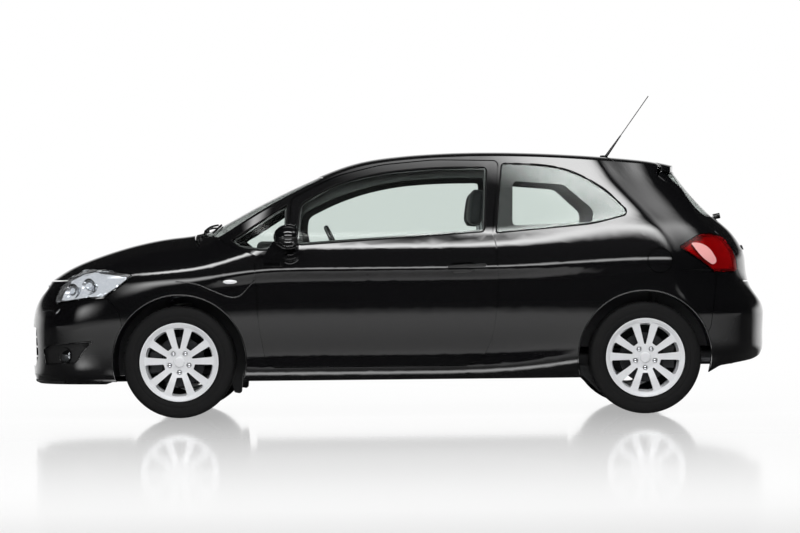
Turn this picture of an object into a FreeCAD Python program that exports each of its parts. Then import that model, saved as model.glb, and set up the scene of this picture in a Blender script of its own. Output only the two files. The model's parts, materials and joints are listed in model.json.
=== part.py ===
"""A three-door hatchback car, in millimetres, with the front towards -X, +Z up and its left side towards -Y.

The painted skin is one outer form: two side surfaces that wrap round the nose and tail, cut by one long
surface that runs over the bonnet, windscreen, roof and rear window. The same form, moved inwards, gives the
inner faces, and every panel, lamp and pane is the piece of that wall inside its own outline.
"""
import FreeCAD
import Part

import math
import os

from FreeCAD import Placement, Rotation, Vector

doc = FreeCAD.newDocument("hatchback")
sheet = doc.addObject("Spreadsheet::Sheet", "sizes")

SIZES = {
    # whole car
    "car_length": 4220,
    "car_width": 1760,
    "roof_height": 1494,
    "front_overhang": 885,
    "wheelbase": 2600,
    "half_track": 762,
    # heights of the body lines
    "sill_height": 205,
    "belt_height": 1000,
    "crease_height": 822,
    "bonnet_height": 1022,
    # walls
    "door_wall": 70,
    "door_skin": 14,
    "roof_wall": 28,
    "bumper_wall": 28,
    "glass_setback": 5,
    "glass_thick": 5,
    "shut_gap": 6,
    "grille_bar": 11,
    "fog_lamp_radius": 47,
    "lens_thick": 4,
    "headlamp_depth": 90,
    "tail_lamp_depth": 60,
    "handle_proud": 9,
    "plate_recess": 8,
    "hinge_clear": 66,
    "seal_lip": 14,
    "seal_flange": 24,
    "seal_gap": 15,
    # wheels
    "tyre_radius": 314,
    "tyre_width": 205,
    "rim_radius": 203,
    "rim_width": 178,
    "rim_lip": 17,
    "spoke_offset": 39,
    "bolt_circle": 114.3,
    "bolt_radius": 10,
    "disc_radius": 138,
    "disc_thick": 22,
    "disc_hat_radius": 72,
    "disc_hat_depth": 40,
    "disc_hat_wall": 8,
    "hub_spindle_radius": 24,
    "hub_spindle_depth": 110,
    "arch_radius": 372,
    "liner_thick": 5,
    # doors and lids
    "door_front": 796,
    "door_rear": 556,
    "door_foot": 283,
    # cabin
    "floor_height": 235,
    "floor_thick": 30,
    "steering_radius": 185,
    "steering_grip": 14,
    "steering_shaft": 12,
    "steering_boss": 62,
    "spoke_width": 34,
    "spoke_thick": 12,
    # engine, axles and tank
    "engine_length": 405,
    "engine_width": 744,
    "engine_height": 540,
    "engine_clearance": 250,
    "engine_lead": 375,
    "engine_round": 30,
    "member_length": 180,
    "member_width": 760,
    "member_height": 60,
    "member_low": 166,
    "rack_radius": 19,
    "rack_length": 720,
    "shaft_radius": 13,
    "beam_length": 80,
    "beam_width": 1120,
    "beam_height": 70,
    "beam_low": 255,
    "stub_radius": 55,
    "damper_radius": 19,
    "tank_length": 202,
    "tank_width": 860,
    "tank_round": 30,
    "tank_clearance": 5,
    "muffler_length": 285,
    "muffler_width": 380,
    "muffler_height": 104,
    "muffler_low": 262,
}

for row, (alias, value) in enumerate(SIZES.items(), 1):
    sheet.set(f"A{row}", alias)
    sheet.set(f"B{row}", str(value))
    sheet.setAlias(f"B{row}", alias)
doc.recompute()


def size(alias):
    return float(sheet.get(alias))


half_width = size("car_width") / 2
nose_x = -size("car_length") / 2
tail_x = size("car_length") / 2
front_axle_x = nose_x + size("front_overhang")
rear_axle_x = front_axle_x + size("wheelbase")
axle_z = size("tyre_radius")
roof_z = size("roof_height")
belt_z = size("belt_height")
crease_z = size("crease_height")
bonnet_z = size("bonnet_height")

# The lines of the side skin, from the bottom edge up. Each has its height at the nose, the doors and the
# tail, how far it lies inside the half width there, and how far behind the nose and ahead of the tail it ends.
SIDE_LINES = (
    (150, 150, 150, 100, 60, 90, 60, 120),
    (205, 205, 262, 55, 30, 60, 14, 60),
    (250, 258, 330, 40, 8, 16, 3, 6),
    (330, 318, 400, 30, 20, 10, 4, 12),
    (440, 430, 500, 26, 13, 8, 1, 8),
    (545, crease_z - 220, 605, 20, 5, 4, 3, 0),
    (625, crease_z - 130, 690, 18, 6, 6, 18, 82),
    (685, crease_z - 52, 790, 18, 13, 10, 50, 106),
    (740, crease_z, 862, 20, -4, 6, 92, 106),
    (790, crease_z + 38, 900, 28, 16, 20, 124, 116),
    (850, belt_z - 70, 965, 62, 38, 50, 160, 138),
    (905, belt_z - 12, 1050, 130, 76, 92, 195, 180),
    (960, belt_z + 34, 1110, 200, 106, 130, 230, 232),
    (1100, belt_z + 210, 1260, 270, 178, 208, 330, 378),
    (1250, roof_z - 76, roof_z - 76, 320, 270, 292, 430, 520),
    (1700, 1700, 1700, 400, 400, 430, 500, 640),
)

# The long top line at mid-width, and how far the skin has dropped below it at the reference half width.
TOP_LINE = (
    (nose_x - 390, bonnet_z - 552, 60),
    (nose_x - 190, bonnet_z - 422, 70),
    (nose_x, bonnet_z - 312, 80),
    (nose_x + 110, bonnet_z - 242, 84),
    (nose_x + 210, bonnet_z - 172, 84),
    (nose_x + 360, bonnet_z - 112, 80),
    (nose_x + 560, bonnet_z - 49, 78),
    (nose_x + 760, bonnet_z - 8, 78),
    (nose_x + 880, bonnet_z + 1, 80),
    (nose_x + 980, bonnet_z + 16, 84),
    (-1040, bonnet_z + 50, 80),
    (-850, roof_z - 314, 68),
    (-650, roof_z - 216, 58),
    (-450, roof_z - 127, 54),
    (-250, roof_z - 52, 54),
    (-50, roof_z - 22, 55),
    (200, roof_z - 3, 56),
    (500, roof_z + 3, 56),
    (800, roof_z - 6, 56),
    (1100, roof_z - 24, 58),
    (tail_x - 760, roof_z - 47, 62),
    (tail_x - 630, roof_z - 62, 66),
    (tail_x - 552, roof_z - 86, 74),
    (tail_x - 500, roof_z - 134, 88),
    (tail_x - 440, roof_z - 216, 105),
    (tail_x - 350, roof_z - 318, 118),
    (tail_x - 262, roof_z - 400, 122),
    (tail_x - 180, roof_z - 462, 118),
    (tail_x - 118, roof_z - 555, 108),
    (tail_x - 75, roof_z - 650, 100),
    (tail_x + 10, roof_z - 800, 95),
    (tail_x + 120, roof_z - 1000, 90),
    (tail_x + 300, roof_z - 1250, 90),
)
CROWN_WIDTH = 700.0
TOP_SPREAD = (-905, -760, -600, -430, -230, 0, 230, 430, 600, 760, 905)


def knots(count, degree=3):
    spans = count - degree
    return [degree + 1] + [1] * (spans - 1) + [degree + 1], [float(i) for i in range(spans + 1)]


def spline_face(net):
    """The smooth face that a net of control points pulls into shape."""
    u_mults, u_knots = knots(len(net))
    v_mults, v_knots = knots(len(net[0]))
    surface = Part.BSplineSurface()
    surface.buildFromPolesMultsKnots(net, u_mults, v_mults, u_knots, v_knots, False, False, 3, 3)
    return surface


def blend(a, b, share):
    """From a to b, slow at both ends."""
    share = min(1.0, max(0.0, share))
    return a + (b - a) * share * share * (3 - 2 * share)


def along(x, front, middle, rear):
    """A value that changes from the front wing to the doors, and from the doors to the tail."""
    if x < -500:
        return blend(front, middle, (x - front_axle_x + 150) / (-750 - front_axle_x + 150))
    return blend(middle, rear, (x - 500) / (rear_axle_x - 500 + 150))


def side_net():
    """Control points of the left side skin, from the nose's middle round to the tail's middle."""
    stations = (front_axle_x - 235, front_axle_x, front_axle_x + 235, -760, -420, 0, 400, 760,
                rear_axle_x - 270, rear_axle_x, rear_axle_x + 250)
    net = [[] for _ in range(len(stations) + 12)]
    for zf, zm, zr, front_in, mid_in, rear_in, nose_in, tail_in in SIDE_LINES:
        w_front = half_width - front_in
        w_rear = half_width - rear_in
        xn = nose_x + nose_in
        xt = tail_x - tail_in
        line = [(xn, 0), (xn, 0.28 * w_front), (xn + 30, 0.54 * w_front), (xn + 110, 0.76 * w_front),
                (xn + 240, 0.895 * w_front), (xn + 400, 0.95 * w_front)]
        line = [Vector(x, -w, zf) for x, w in line]
        front_share = (-420 - xn - 400) / (-420 - nose_x - 400)
        rear_share = (xt - 430 - 400) / (tail_x - 430 - 400)
        for x in stations:
            inside = along(x, front_in, mid_in, rear_in)
            height = along(x, zf, zm, zr)
            if x < -420:
                x = -420 + (x + 420) * front_share
            elif x > 400:
                x = 400 + (x - 400) * rear_share
            line.append(Vector(x, inside - half_width, height))
        tail = [(xt - 430, 0.975 * w_rear), (xt - 270, 0.93 * w_rear), (xt - 130, 0.82 * w_rear),
                (xt - 38, 0.60 * w_rear), (xt, 0.30 * w_rear), (xt, 0)]
        line += [Vector(x, -w, zr) for x, w in tail]
        for column, point in zip(net, line):
            column.append(point)
    return net


def top_net(line=TOP_LINE):
    """Control points of the long top skin, from ahead of the nose to behind the tail."""
    net = []
    last = len(line) - 1
    for i, (x, z, crown) in enumerate(line):
        before = line[max(i - 2, 0)]
        after = line[min(i + 2, last)]
        run = Vector(after[0] - before[0], 0, after[1] - before[1]).normalize()
        inward = Vector(run.z, 0, -run.x)
        net.append([Vector(x, y, z) + inward * (crown * (y / CROWN_WIDTH) ** 2) for y in TOP_SPREAD])
    return net


def moved_in(net, depth, reach=(1, 1)):
    """The net moved inwards by depth(i, j) along its own normals, which are taken over reach lines each way."""
    result = []
    last_i, last_j = len(net) - 1, len(net[0]) - 1
    for i, line in enumerate(net):
        moved = []
        for j, point in enumerate(line):
            along_u = net[min(i + reach[0], last_i)][j] - net[max(i - reach[0], 0)][j]
            along_v = line[min(j + reach[1], last_j)] - line[max(j - reach[1], 0)]
            outward = along_u.cross(along_v).normalize()
            moved.append(point - outward * depth(i, j))
        result.append(moved)
    return result


def mirrored(shape):
    return shape.mirror(Vector(0, 0, 0), Vector(0, 1, 0))


def barrel(net):
    """The space between the left side skin and its mirror image, closed flat at the top and bottom."""
    bottom = net[0][0].z
    top = net[0][-1].z
    left = spline_face(net).toShape()
    right = spline_face([[Vector(p.x, -p.y, p.z) for p in line] for line in net]).toShape()
    faces = [left, right]
    for z in (bottom, top):
        edges = [e for f in (left, right) for e in f.Edges
                 if abs(e.BoundBox.ZMin - z) < 1e-3 and abs(e.BoundBox.ZMax - z) < 1e-3]
        faces.append(Part.Face(Part.Wire(Part.__sortEdges__(edges))))
    shell = Part.Shell(faces)
    shell.sewShape()
    solid = Part.Solid(shell)
    if solid.Volume < 0:
        solid.reverse()
    return solid


def ribbon(net):
    """The space under the long top skin."""
    return spline_face(net).toShape().extrude(Vector(0, 0, -3000))


def corners(points, grow=0.0):
    """The corners (a, b, radius) of an outline, moved outwards by grow."""
    area = sum(p[0] * q[1] - q[0] * p[1] for p, q in zip(points, points[1:] + points[:1]))
    turn = 1 if area > 0 else -1
    result = []
    for before, here, after in zip(points[-1:] + points[:-1], points, points[1:] + points[:1]):
        into = Vector(here[0] - before[0], here[1] - before[1], 0).normalize()
        out = Vector(after[0] - here[0], after[1] - here[1], 0).normalize()
        n1 = Vector(into.y, -into.x, 0) * turn
        n2 = Vector(out.y, -out.x, 0) * turn
        shift = (n1 + n2) * (grow / (1 + n1.dot(n2)))
        radius = here[2] if len(here) > 2 else 0
        if radius:
            convex = (into.x * out.y - into.y * out.x) * turn > 0
            radius = max(1.0, radius + grow if convex else radius - grow)
        result.append((here[0] + shift.x, here[1] + shift.y, radius))
    return result


def outline(points, plane, at=0.0, grow=0.0):
    """A closed wire of straight lines and tangent arcs. plane is XZ for a side view, XY for a plan, YZ for
    a view from the rear."""
    place = {"XZ": lambda p: Vector(p.x, at, p.y), "XY": lambda p: Vector(p.x, p.y, at),
             "YZ": lambda p: Vector(at, p.x, p.y)}[plane]
    ring = corners(points, grow)
    starts, edges, ends = [], [], []
    for before, here, after in zip(ring[-1:] + ring[:-1], ring, ring[1:] + ring[:1]):
        corner = Vector(here[0], here[1], 0)
        back = Vector(before[0], before[1], 0) - corner
        on = Vector(after[0], after[1], 0) - corner
        half = back.getAngle(on) / 2
        radius = here[2]
        if radius and half < math.radians(89.9):
            reach = min(radius / math.tan(half), 0.49 * back.Length, 0.49 * on.Length)
            radius = reach * math.tan(half)
            back.normalize()
            on.normalize()
            first, last = corner + back * reach, corner + on * reach
            middle = corner + (back + on).normalize() * (radius / math.sin(half) - radius)
            edges.append(Part.Arc(place(first), place(middle), place(last)).toShape())
        else:
            first = last = corner
            edges.append(None)
        starts.append(first)
        ends.append(last)
    pieces = []
    for i, arc in enumerate(edges):
        if arc:
            pieces.append(arc)
        following = starts[(i + 1) % len(starts)]
        if (following - ends[i]).Length > 1e-6:
            pieces.append(Part.makeLine(place(ends[i]), place(following)))
    return Part.Wire(pieces)


def prism(points, plane, start, end, grow=0.0):
    """An outline carried from start to end, square to its plane."""
    direction = {"XZ": Vector(0, 1, 0), "XY": Vector(0, 0, 1), "YZ": Vector(1, 0, 0)}[plane]
    return Part.Face(outline(points, plane, start, grow)).extrude(direction * (end - start))


def block(x1, y1, z1, x2, y2, z2):
    return Part.makeBox(x2 - x1, y2 - y1, z2 - z1, Vector(x1, y1, z1))


# The outer form and the layers inside it.
side = side_net()
top = top_net()
side_columns = len(side)


def side_wall(i, j):
    """Wall thickness of the side skin: bumper, wing, door, quarter panel and tail, thinner beside the glass."""
    if i <= 8:
        full = size("bumper_wall")
    elif i <= 13:
        full = size("door_wall")
    else:
        full = 50
    share = (1, 1, 1, 1, 1, 1, 1, 1, 1, 1, 0.8, 0.5, 0.1, 0, 0, 0)[j]
    thin = min(full, size("roof_wall"))
    return thin + (full - thin) * share


def top_wall(i, j):
    x = TOP_LINE[i][0]
    if x < nose_x + 1100:
        return size("bumper_wall")
    if x < tail_x - 400:
        return size("roof_wall")
    return 48


def skin(side_depth, top_depth, side_reach=(1, 1), top_reach=(1, 1)):
    """The outer form with its sides and top moved inwards."""
    inner_side = moved_in(side, side_depth, side_reach)
    for line in inner_side:
        line[0].z = side[0][0].z
        line[-1].z = side[0][-1].z
    return barrel(inner_side).common(ribbon(moved_in(top, top_depth, top_reach)))


def layer(depth):
    return skin(lambda i, j: depth, lambda i, j: depth)


def both(left):
    """A piece and its mirror image as one shape."""
    return Part.makeCompound([left, mirrored(left)])


def solids_of(shape, smallest=20000):
    """The shape without crumbs under smallest mm3, as one solid or a compound of solids."""
    kept = [item for item in shape.Solids if item.Volume > smallest]
    return kept[0] if len(kept) == 1 else Part.makeCompound(kept)


def left_of(shape, smallest=20000):
    kept = [item for item in shape.Solids if item.Volume > smallest and item.CenterOfMass.y < 0]
    return kept[0] if len(kept) == 1 else Part.makeCompound(kept)


parts = {}


def feature(name, shape):
    """A document object that holds a finished shape."""
    item = doc.addObject("Part::Feature", name)
    item.Shape = shape
    item.Label = name
    parts[name] = item
    return item


def bound(kind, name, place=("0", "0", "0"), turn=Rotation(), **sizes):
    """A document object whose sizes and place follow expressions over the sheet."""
    item = doc.addObject(kind, name)
    item.Placement = Placement(Vector(0, 0, 0), turn)
    for key, text in sizes.items():
        item.setExpression(key, text)
    for axis, text in zip("xyz", place):
        item.setExpression(f"Placement.Base.{axis}", text)
    return item


def box(name, place, length, width, height):
    return bound("Part::Box", name, place, Length=length, Width=width, Height=height)


def cylinder(name, place, radius, height, turn=Rotation()):
    return bound("Part::Cylinder", name, place, turn, Radius=radius, Height=height)


def held(name, shape):
    """A document object for a form that follows an outline."""
    item = doc.addObject("Part::Feature", name)
    item.Shape = shape
    return item


def fused(name, pieces):
    item = doc.addObject("Part::MultiFuse", name)
    item.Shapes = pieces
    return item


def without(name, base, tool):
    item = doc.addObject("Part::Cut", name)
    item.Base = base
    item.Tool = tool
    return item


def mirror_of(name, source):
    item = doc.addObject("Part::Mirroring", name)
    item.Source = source
    item.Normal = Vector(0, 1, 0)
    return item


def rounded(name, base, radius):
    """The object with all its edges rounded."""
    doc.recompute()
    item = doc.addObject("Part::Fillet", name)
    item.Base = base
    item.Edges = [(n, radius, radius) for n in range(1, len(base.Shape.Edges) + 1)]
    return item


def part(name, item):
    """Lists a document object as one of the car's parts."""
    item.Label = name
    parts[name] = item
    return item


outer = layer(0)
glass_out = layer(size("glass_setback"))
glass_in = layer(size("glass_setback") + size("glass_thick"))
door_skin = layer(size("door_skin"))
door_seat = layer(size("door_skin") + size("shut_gap"))
inner = skin(side_wall, top_wall, (1, 2), (2, 1))

# Side-view outlines, each as corners (x, z, corner radius).
gap = size("shut_gap")
sill_z = size("sill_height")
door_front = -size("door_front")
door_rear = size("door_rear")
door_foot = size("door_foot")
far = half_width + 200
rail = 572

DOOR = [
    (door_front + 64, door_foot, 62), (door_front + 23, 500, 300), (door_front + 6, crease_z - 60, 400),
    (door_front, crease_z + 40, 200),
    (door_front + 22, belt_z - 108, 40), (-655, belt_z - 86, 90), (-602, belt_z - 20, 60),
    (-594, 1222, 50), (-343, 1346, 500), (-89, 1407, 700), (210, 1433, 900), (door_rear + 14, 1425, 26),
    (door_rear - 27, belt_z + 12, 60), (door_rear - 6, belt_z - 60, 200), (door_rear, crease_z - 80, 400),
    (door_rear - 11, 595, 300), (door_rear - 40, 416, 200), (door_rear - 98, 316, 130),
    (door_rear - 175, door_foot, 120),
]
DOOR_WINDOW = [
    (-568, belt_z - 42, 30), (-548, 1189, 40), (-343, 1308, 500), (-89, 1367, 700), (210, 1392, 800),
    (door_rear - 48, 1391, 24), (door_rear - 68, belt_z + 24, 24),
]
QUARTER_WINDOW = [
    (door_rear + 34, 1413, 22), (844, 1402, 900), (1000, 1362, 500), (1172, 1262, 300), (1288, 1140, 22),
    (1281, 1110, 22), (1093, 1062, 700), (door_rear - 6, belt_z + 16, 22),
]
QUARTER_OPENING = [(652, 1312, 26), (941, 1287, 60), (1103, 1142, 60), (1092, 1072, 24), (644, 1058, 24)]
FRONT_LIGHT = [(-936, 988, 14), (-880, 947, 30), (-763, 930, 200), (-624, 948, 30), (-616, 1193, 18)]
HEADLAMP = [
    (-1932, 644, 18), (-1924, 692, 60), (-1900, 734, 80), (-1846, 787, 100), (-1776, 829, 60),
    (-1700, 838, 200), (-1590, 825, 200), (-1474, 800, 10), (-1541, 745, 80), (-1643, 678, 40),
    (-1749, 671, 100), (-1838, 658, 100),
]
# Plan points of the skin at both ends of each lamp
HEADLAMP_FRONT = (-1932, -560)
HEADLAMP_REAR = (-1474, -815)
TAIL_LAMP_FRONT = (1566, -815)
TAIL_LAMP_REAR = (1914, -640)
TAIL_LAMP = [
    (1566, 927, 12), (1681, 995, 60), (1759, 1005, 60), (1840, 977, 60), (1888, 905, 90), (1914, 838, 60),
    (1914, 787, 18), (1771, 787, 18), (1690, 850, 300),
]
FRONT_BUMPER = [
    (-2400, 100), (-2400, 800), (-1990, 800), (-1640, 690), (-1633, 678), (-1560, 600, 30), (-1540, 480),
    (-1540, 100),
]
REAR_BUMPER = [(2400, 100), (2400, 800), (1640, 800), (1790, 787), (1745, 480, 60), (1700, 400), (1700, 100)]
WING = [
    (-2300, 100), (-667, 100), (-667, door_foot + 60), (door_front + 60, 500), (door_front + 44, crease_z - 60),
    (door_front + 44, belt_z - 118), (door_front - 20, belt_z - 88), (-880, belt_z - 68, 60), (-950, belt_z - 36, 60),
    (-1016, belt_z + 6, 40), (-1050, belt_z + 200), (-2300, belt_z + 200),
]
FLAP = 72.0
FOG_RECESS = [(-2008, 388, 12), (-1965, 412, 40), (-1709, 433, 12), (-1763, 382, 60), (-1807, 312, 20), (-1992, 302, 14)]

# Plan outlines, as corners (x, y, corner radius), drawn for both sides at once.
def across(points):
    """An outline from its left half, listed from the front middle to the rear middle."""
    return [(x, -y, r) for x, y, r in points] + [(x, y, r) for x, y, r in reversed(points)]


BONNET = across([(-2200, 60, 0), (-2200, 560, 0), (-1960, 592, 200), (-1830, 636, 200), (-1620, 672, 600),
                 (-1330, 700, 800), (-1118, 716, 26), (-1155, 420, 600), (-1178, 60, 900)])
WINDSCREEN = across([(-1112, 60, 900), (-1086, 420, 600), (-1008, 664, 34), (-418, 556, 40), (-448, 300, 700),
                     (-462, 60, 900)])
ROOF = across([(-900, 10, 0), (-900, 440, 0), (-395, 566, 0), (200, 574, 900), (1000, 566, 900),
               (1530, 506, 0), (1530, 10, 0)])
SPOILER = across([(1500, 60, 0), (1500, 508, 8), (1552, 500, 40), (1582, 300, 500), (1592, 60, 900)])

# Outlines seen from the front or rear, as corners (y, z, corner radius).
UPPER_GRILLE = [(-436, 744, 14), (436, 744, 14), (392, 694, 20), (-392, 694, 20)]
LOWER_INTAKE = [(-492, 510, 40), (492, 510, 40), (530, 352, 50), (440, 290, 40), (-440, 290, 40), (-530, 352, 50)]
INTAKE_BARS = (345, 400, 455)
INTAKE_POSTS = (-240, 240)
GRILLE_BAR = 719
GRILLE_POSTS = (-200, 200)
PLATE_RECESS = [(-265, 748, 0), (265, 748, 0), (250, 900, 24), (-250, 900, 24)]
TAILGATE_HANDLE = [(-230, 912, 8), (230, 912, 8), (230, 938, 8), (-230, 938, 8)]
TAILGATE = [
    (-570, 736, 60), (570, 736, 60), (618, 790, 60), (632, 900, 300), (628, 1010, 80), (596, 1110, 200),
    (548, 1300, 300), (505, 1500, 10), (-505, 1500, 10), (-548, 1300, 300), (-596, 1110, 200),
    (-628, 1010, 80), (-632, 900, 300), (-618, 790, 60),
]
REAR_WINDOW = [(-556, 1104, 70), (556, 1104, 70), (492, 1352, 50), (-492, 1352, 50)]


def pair_prism(points, near, grow=0.0):
    """A side-view outline carried outwards from |y| = near on both sides."""
    return both(prism(points, "XZ", -far, -near, grow))


# The wall between the outer form and the cabin, cut off along the underside.
UNDERSIDE = [
    (-2500, 192), (-1640, 192), (-1600, sill_z), (1700, sill_z), (1800, 262, 60), (2000, 292, 200),
    (2090, 322, 30), (2500, 330), (2500, 1900), (-2500, 1900),
]
wall = outer.cut(inner).common(prism(UNDERSIDE, "XZ", -far, far))


def wheel_spaces(radius, near, reach=far):
    result = []
    for x in (front_axle_x, rear_axle_x):
        result.append(Part.makeCylinder(radius, reach - near, Vector(x, -reach, axle_z), Vector(0, 1, 0)))
    return both(Part.makeCompound(result))


wall = wall.cut(wheel_spaces(size("arch_radius"), 560))
rest = wall

# Bonnet
bonnet_edge_z = bonnet_z - 246
bonnet = wall.common(prism(BONNET, "XY", bonnet_edge_z, 1300))
bonnet_gap = prism(BONNET, "XY", bonnet_edge_z - gap, 1300, gap)
rest = rest.cut(bonnet_gap)
rest = rest.cut(bonnet_gap.translated(Vector(gap, 0, 0)))

# Tailgate
TAILGATE_SIDE = [(1500, 1500), (1478, 1300), (1400, 1150), (1400, 500), (2500, 500), (2500, 1500)]
tailgate_zone = prism(TAILGATE, "YZ", 1300, 2300).common(prism(TAILGATE_SIDE, "XZ", -far, far))
tailgate = wall.common(tailgate_zone)
tailgate_cut = prism(TAILGATE, "YZ", 1300, 2300, gap).common(prism(TAILGATE_SIDE, "XZ", -far, far, gap))
rest = rest.cut(tailgate_cut)

# Lamps: each a lens in the skin with a closed housing behind it, cut off square to the corner it sits on
lens = size("lens_thick")
lamp_out = layer(lens)


def behind(first, second, depth):
    """The space outside a vertical plane that lies depth inside the line between two plan points."""
    a, b = Vector(first[0], first[1], 0), Vector(second[0], second[1], 0)
    run = (b - a).normalize()
    inward = Vector(-run.y, run.x, 0)
    if inward.y < 0:
        inward = inward * -1
    a, b = a + inward * depth - run * 900, b + inward * depth + run * 900
    c, d = b - inward * 900, a - inward * 900
    return Part.Face(Part.makePolygon([a, b, c, d, a])).extrude(Vector(0, 0, 1400))


def lamp(points, first, second, depth):
    zone = prism(points, "XZ", -far, -300)
    body = zone.common(outer).common(behind(first, second, depth))
    room = prism(points, "XZ", -far, -300, -lens).common(behind(first, second, depth - lens)).common(lamp_out)
    return left_of(body.cut(room))


headlamps = lamp(HEADLAMP, HEADLAMP_FRONT, HEADLAMP_REAR, size("headlamp_depth"))
rest = rest.cut(pair_prism(HEADLAMP, 300, 2))
bonnet = bonnet.cut(pair_prism(HEADLAMP, 300, gap))
tail_lamps = lamp(TAIL_LAMP, TAIL_LAMP_FRONT, TAIL_LAMP_REAR, size("tail_lamp_depth"))
tail_lamps = left_of(tail_lamps.cut(tailgate_cut))
rest = rest.cut(pair_prism(TAIL_LAMP, 300, 2))

# Bumpers and wings
front_bumper = solids_of(rest.common(prism(FRONT_BUMPER, "XZ", -far, far)))
rest = rest.cut(prism(FRONT_BUMPER, "XZ", -far, far, 3))
rear_bumper = solids_of(rest.common(prism(REAR_BUMPER, "XZ", -far, far)), 60000)
rest = rest.cut(prism(REAR_BUMPER, "XZ", -far, far, 3))

# Openings in the front bumper, with bars set back from the skin, and the recess of each fog lamp
bar = size("grille_bar")
for points in (UPPER_GRILLE, LOWER_INTAKE):
    front_bumper = front_bumper.cut(prism(points, "YZ", -2300, -1800))
bars = [block(-2300, -560, z - bar / 2, -1800, 560, z + bar / 2) for z in INTAKE_BARS]
bars.append(block(-2300, -430, GRILLE_BAR - bar / 2, -1800, 430, GRILLE_BAR + bar / 2))
bars += [block(-2300, y - bar / 2, 285, -1800, y + bar / 2, 515) for y in INTAKE_POSTS]
bars += [block(-2300, y - bar / 2, 690, -1800, y + bar / 2, 748) for y in GRILLE_POSTS]
bars = bars[0].multiFuse(bars[1:]).common(wall).common(door_skin)
bars = bars.common(prism(UPPER_GRILLE, "YZ", -2300, -1800, 4).fuse(prism(LOWER_INTAKE, "YZ", -2300, -1800, 4)))
front_bumper = front_bumper.fuse(bars)
fog_pocket = prism(FOG_RECESS, "XZ", -far, -380).cut(door_skin)
front_bumper = front_bumper.cut(both(fog_pocket))
fog_lamp = Part.makeCylinder(size("fog_lamp_radius"), 120, Vector(-1800, -560, 358), Vector(-0.62, -0.785, 0))
front_bumper = solids_of(front_bumper.fuse(both(fog_lamp.common(lamp_out).cut(inner))))


# Doors
door_zone = prism(DOOR, "XZ", -far, -rail)
door_outer = door_zone.common(wall).cut(door_skin)
door_inset = size("seal_flange") + size("seal_gap")
door_inner = prism(DOOR, "XZ", -far, -rail, -door_inset).common(wall).common(door_skin)
door = door_outer.fuse(door_inner)
rest = rest.cut(both(prism(DOOR, "XZ", -far, -rail, gap).cut(door_seat)))
rest = rest.cut(pair_prism(DOOR, rail, -size("seal_flange")))


def glazed(panel, points, plane, near, reach):
    """A panel with a rebate and an opening for a pane, and the pane that lies in it."""
    lip = size("seal_lip")
    zone = prism(points, plane, near, reach)
    pane = zone.common(glass_out).cut(glass_in)
    panel = panel.cut(prism(points, plane, near, reach, 3).cut(glass_in))
    return panel.cut(prism(points, plane, near, reach, -lip)), pane


door, door_glass = glazed(door, DOOR_WINDOW, "XZ", -far, -560)
HANDLE_RECESS = [(292, crease_z - 28, 26), (292, crease_z + 30, 26), (432, crease_z + 34, 26), (432, crease_z - 20, 26)]
HANDLE = [(272, crease_z - 8, 9), (272, crease_z + 14, 9), (497, crease_z + 22, 11), (497, crease_z - 4, 11)]
door = door.cut(prism(HANDLE_RECESS, "XZ", -far, -rail).cut(door_skin))
handle = prism(HANDLE, "XZ", -far, -rail).common(layer(-size("handle_proud"))).cut(glass_out)
handle_root = prism(HANDLE, "XZ", -far, -rail).common(wall)
door = door.fuse([handle, handle_root.common(block(262, -far, 0, 300, 0, 2000)),
                  handle_root.common(block(424, -far, 0, 510, 0, 2000))])
lip = size("seal_lip")
for points, near, hole in (
    (QUARTER_WINDOW, 540, corners(QUARTER_OPENING)), (FRONT_LIGHT, 640, corners(FRONT_LIGHT, -lip)),
):
    rest = rest.cut(both(prism(points, "XZ", -far, -near, 3).cut(glass_in)))
    rest = rest.cut(pair_prism(hole, near))
quarter_glass = prism(QUARTER_WINDOW, "XZ", -far, -540).common(glass_out).cut(glass_in)
front_light = prism(FRONT_LIGHT, "XZ", -far, -640).common(glass_out).cut(glass_in)
rest, windscreen = glazed(rest, WINDSCREEN, "XY", 900, 1700)
tailgate, tailgate_glass = glazed(tailgate, REAR_WINDOW, "YZ", 1300, 2300)
roof_zone = prism(ROOF, "XY", 1200, 1700)
roof_panel = solids_of(rest.common(roof_zone))
rest = rest.cut(roof_zone)
wing_zone = prism(WING, "XZ", -far, -400)
wings = left_of(rest.common(wing_zone).cut(door_skin))
rest = rest.cut(both(prism(WING, "XZ", -far, -400, 3).cut(door_skin)))

# Spoiler: the roof carried on past the rear window, as thick as a lip, rounded off at its trailing edge.
spoiler_line = [row for row in TOP_LINE if row[0] < 1350] + [
    (1380, roof_z - 50, 62), (1480, roof_z - 62, 62), (1560, roof_z - 79, 62), (1640, roof_z - 100, 62),
    (1760, roof_z - 134, 62), (1900, roof_z - 178, 62)]
spoiler_net = top_net(spoiler_line)
spoiler = ribbon(spoiler_net).cut(ribbon(moved_in(spoiler_net, lambda i, j: 30)))
spoiler = spoiler.common(prism(SPOILER, "XY", 1200, 1600))
# The tailgate's front edge is cut round about its hinge, so that it swings clear of the roof.
tailgate = tailgate.cut(Part.makeCylinder(size("hinge_clear"), 1200, Vector(1450, -600, 1400), Vector(0, 1, 0)))
tailgate = tailgate.fuse(spoiler).cut(prism(REAR_WINDOW, "YZ", 1300, 2300, -14).cut(outer.cut(glass_in)))

# The recess for a number plate, and the handle over it
recess = size("plate_recess")
tailgate = tailgate.cut(prism(PLATE_RECESS, "YZ", 1300, 2300).cut(layer(recess)))
tailgate_handle = prism(TAILGATE_HANDLE, "YZ", 1300, 2300).common(layer(-size("handle_proud"))).cut(layer(recess))
tailgate = tailgate.fuse(tailgate_handle)

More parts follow.
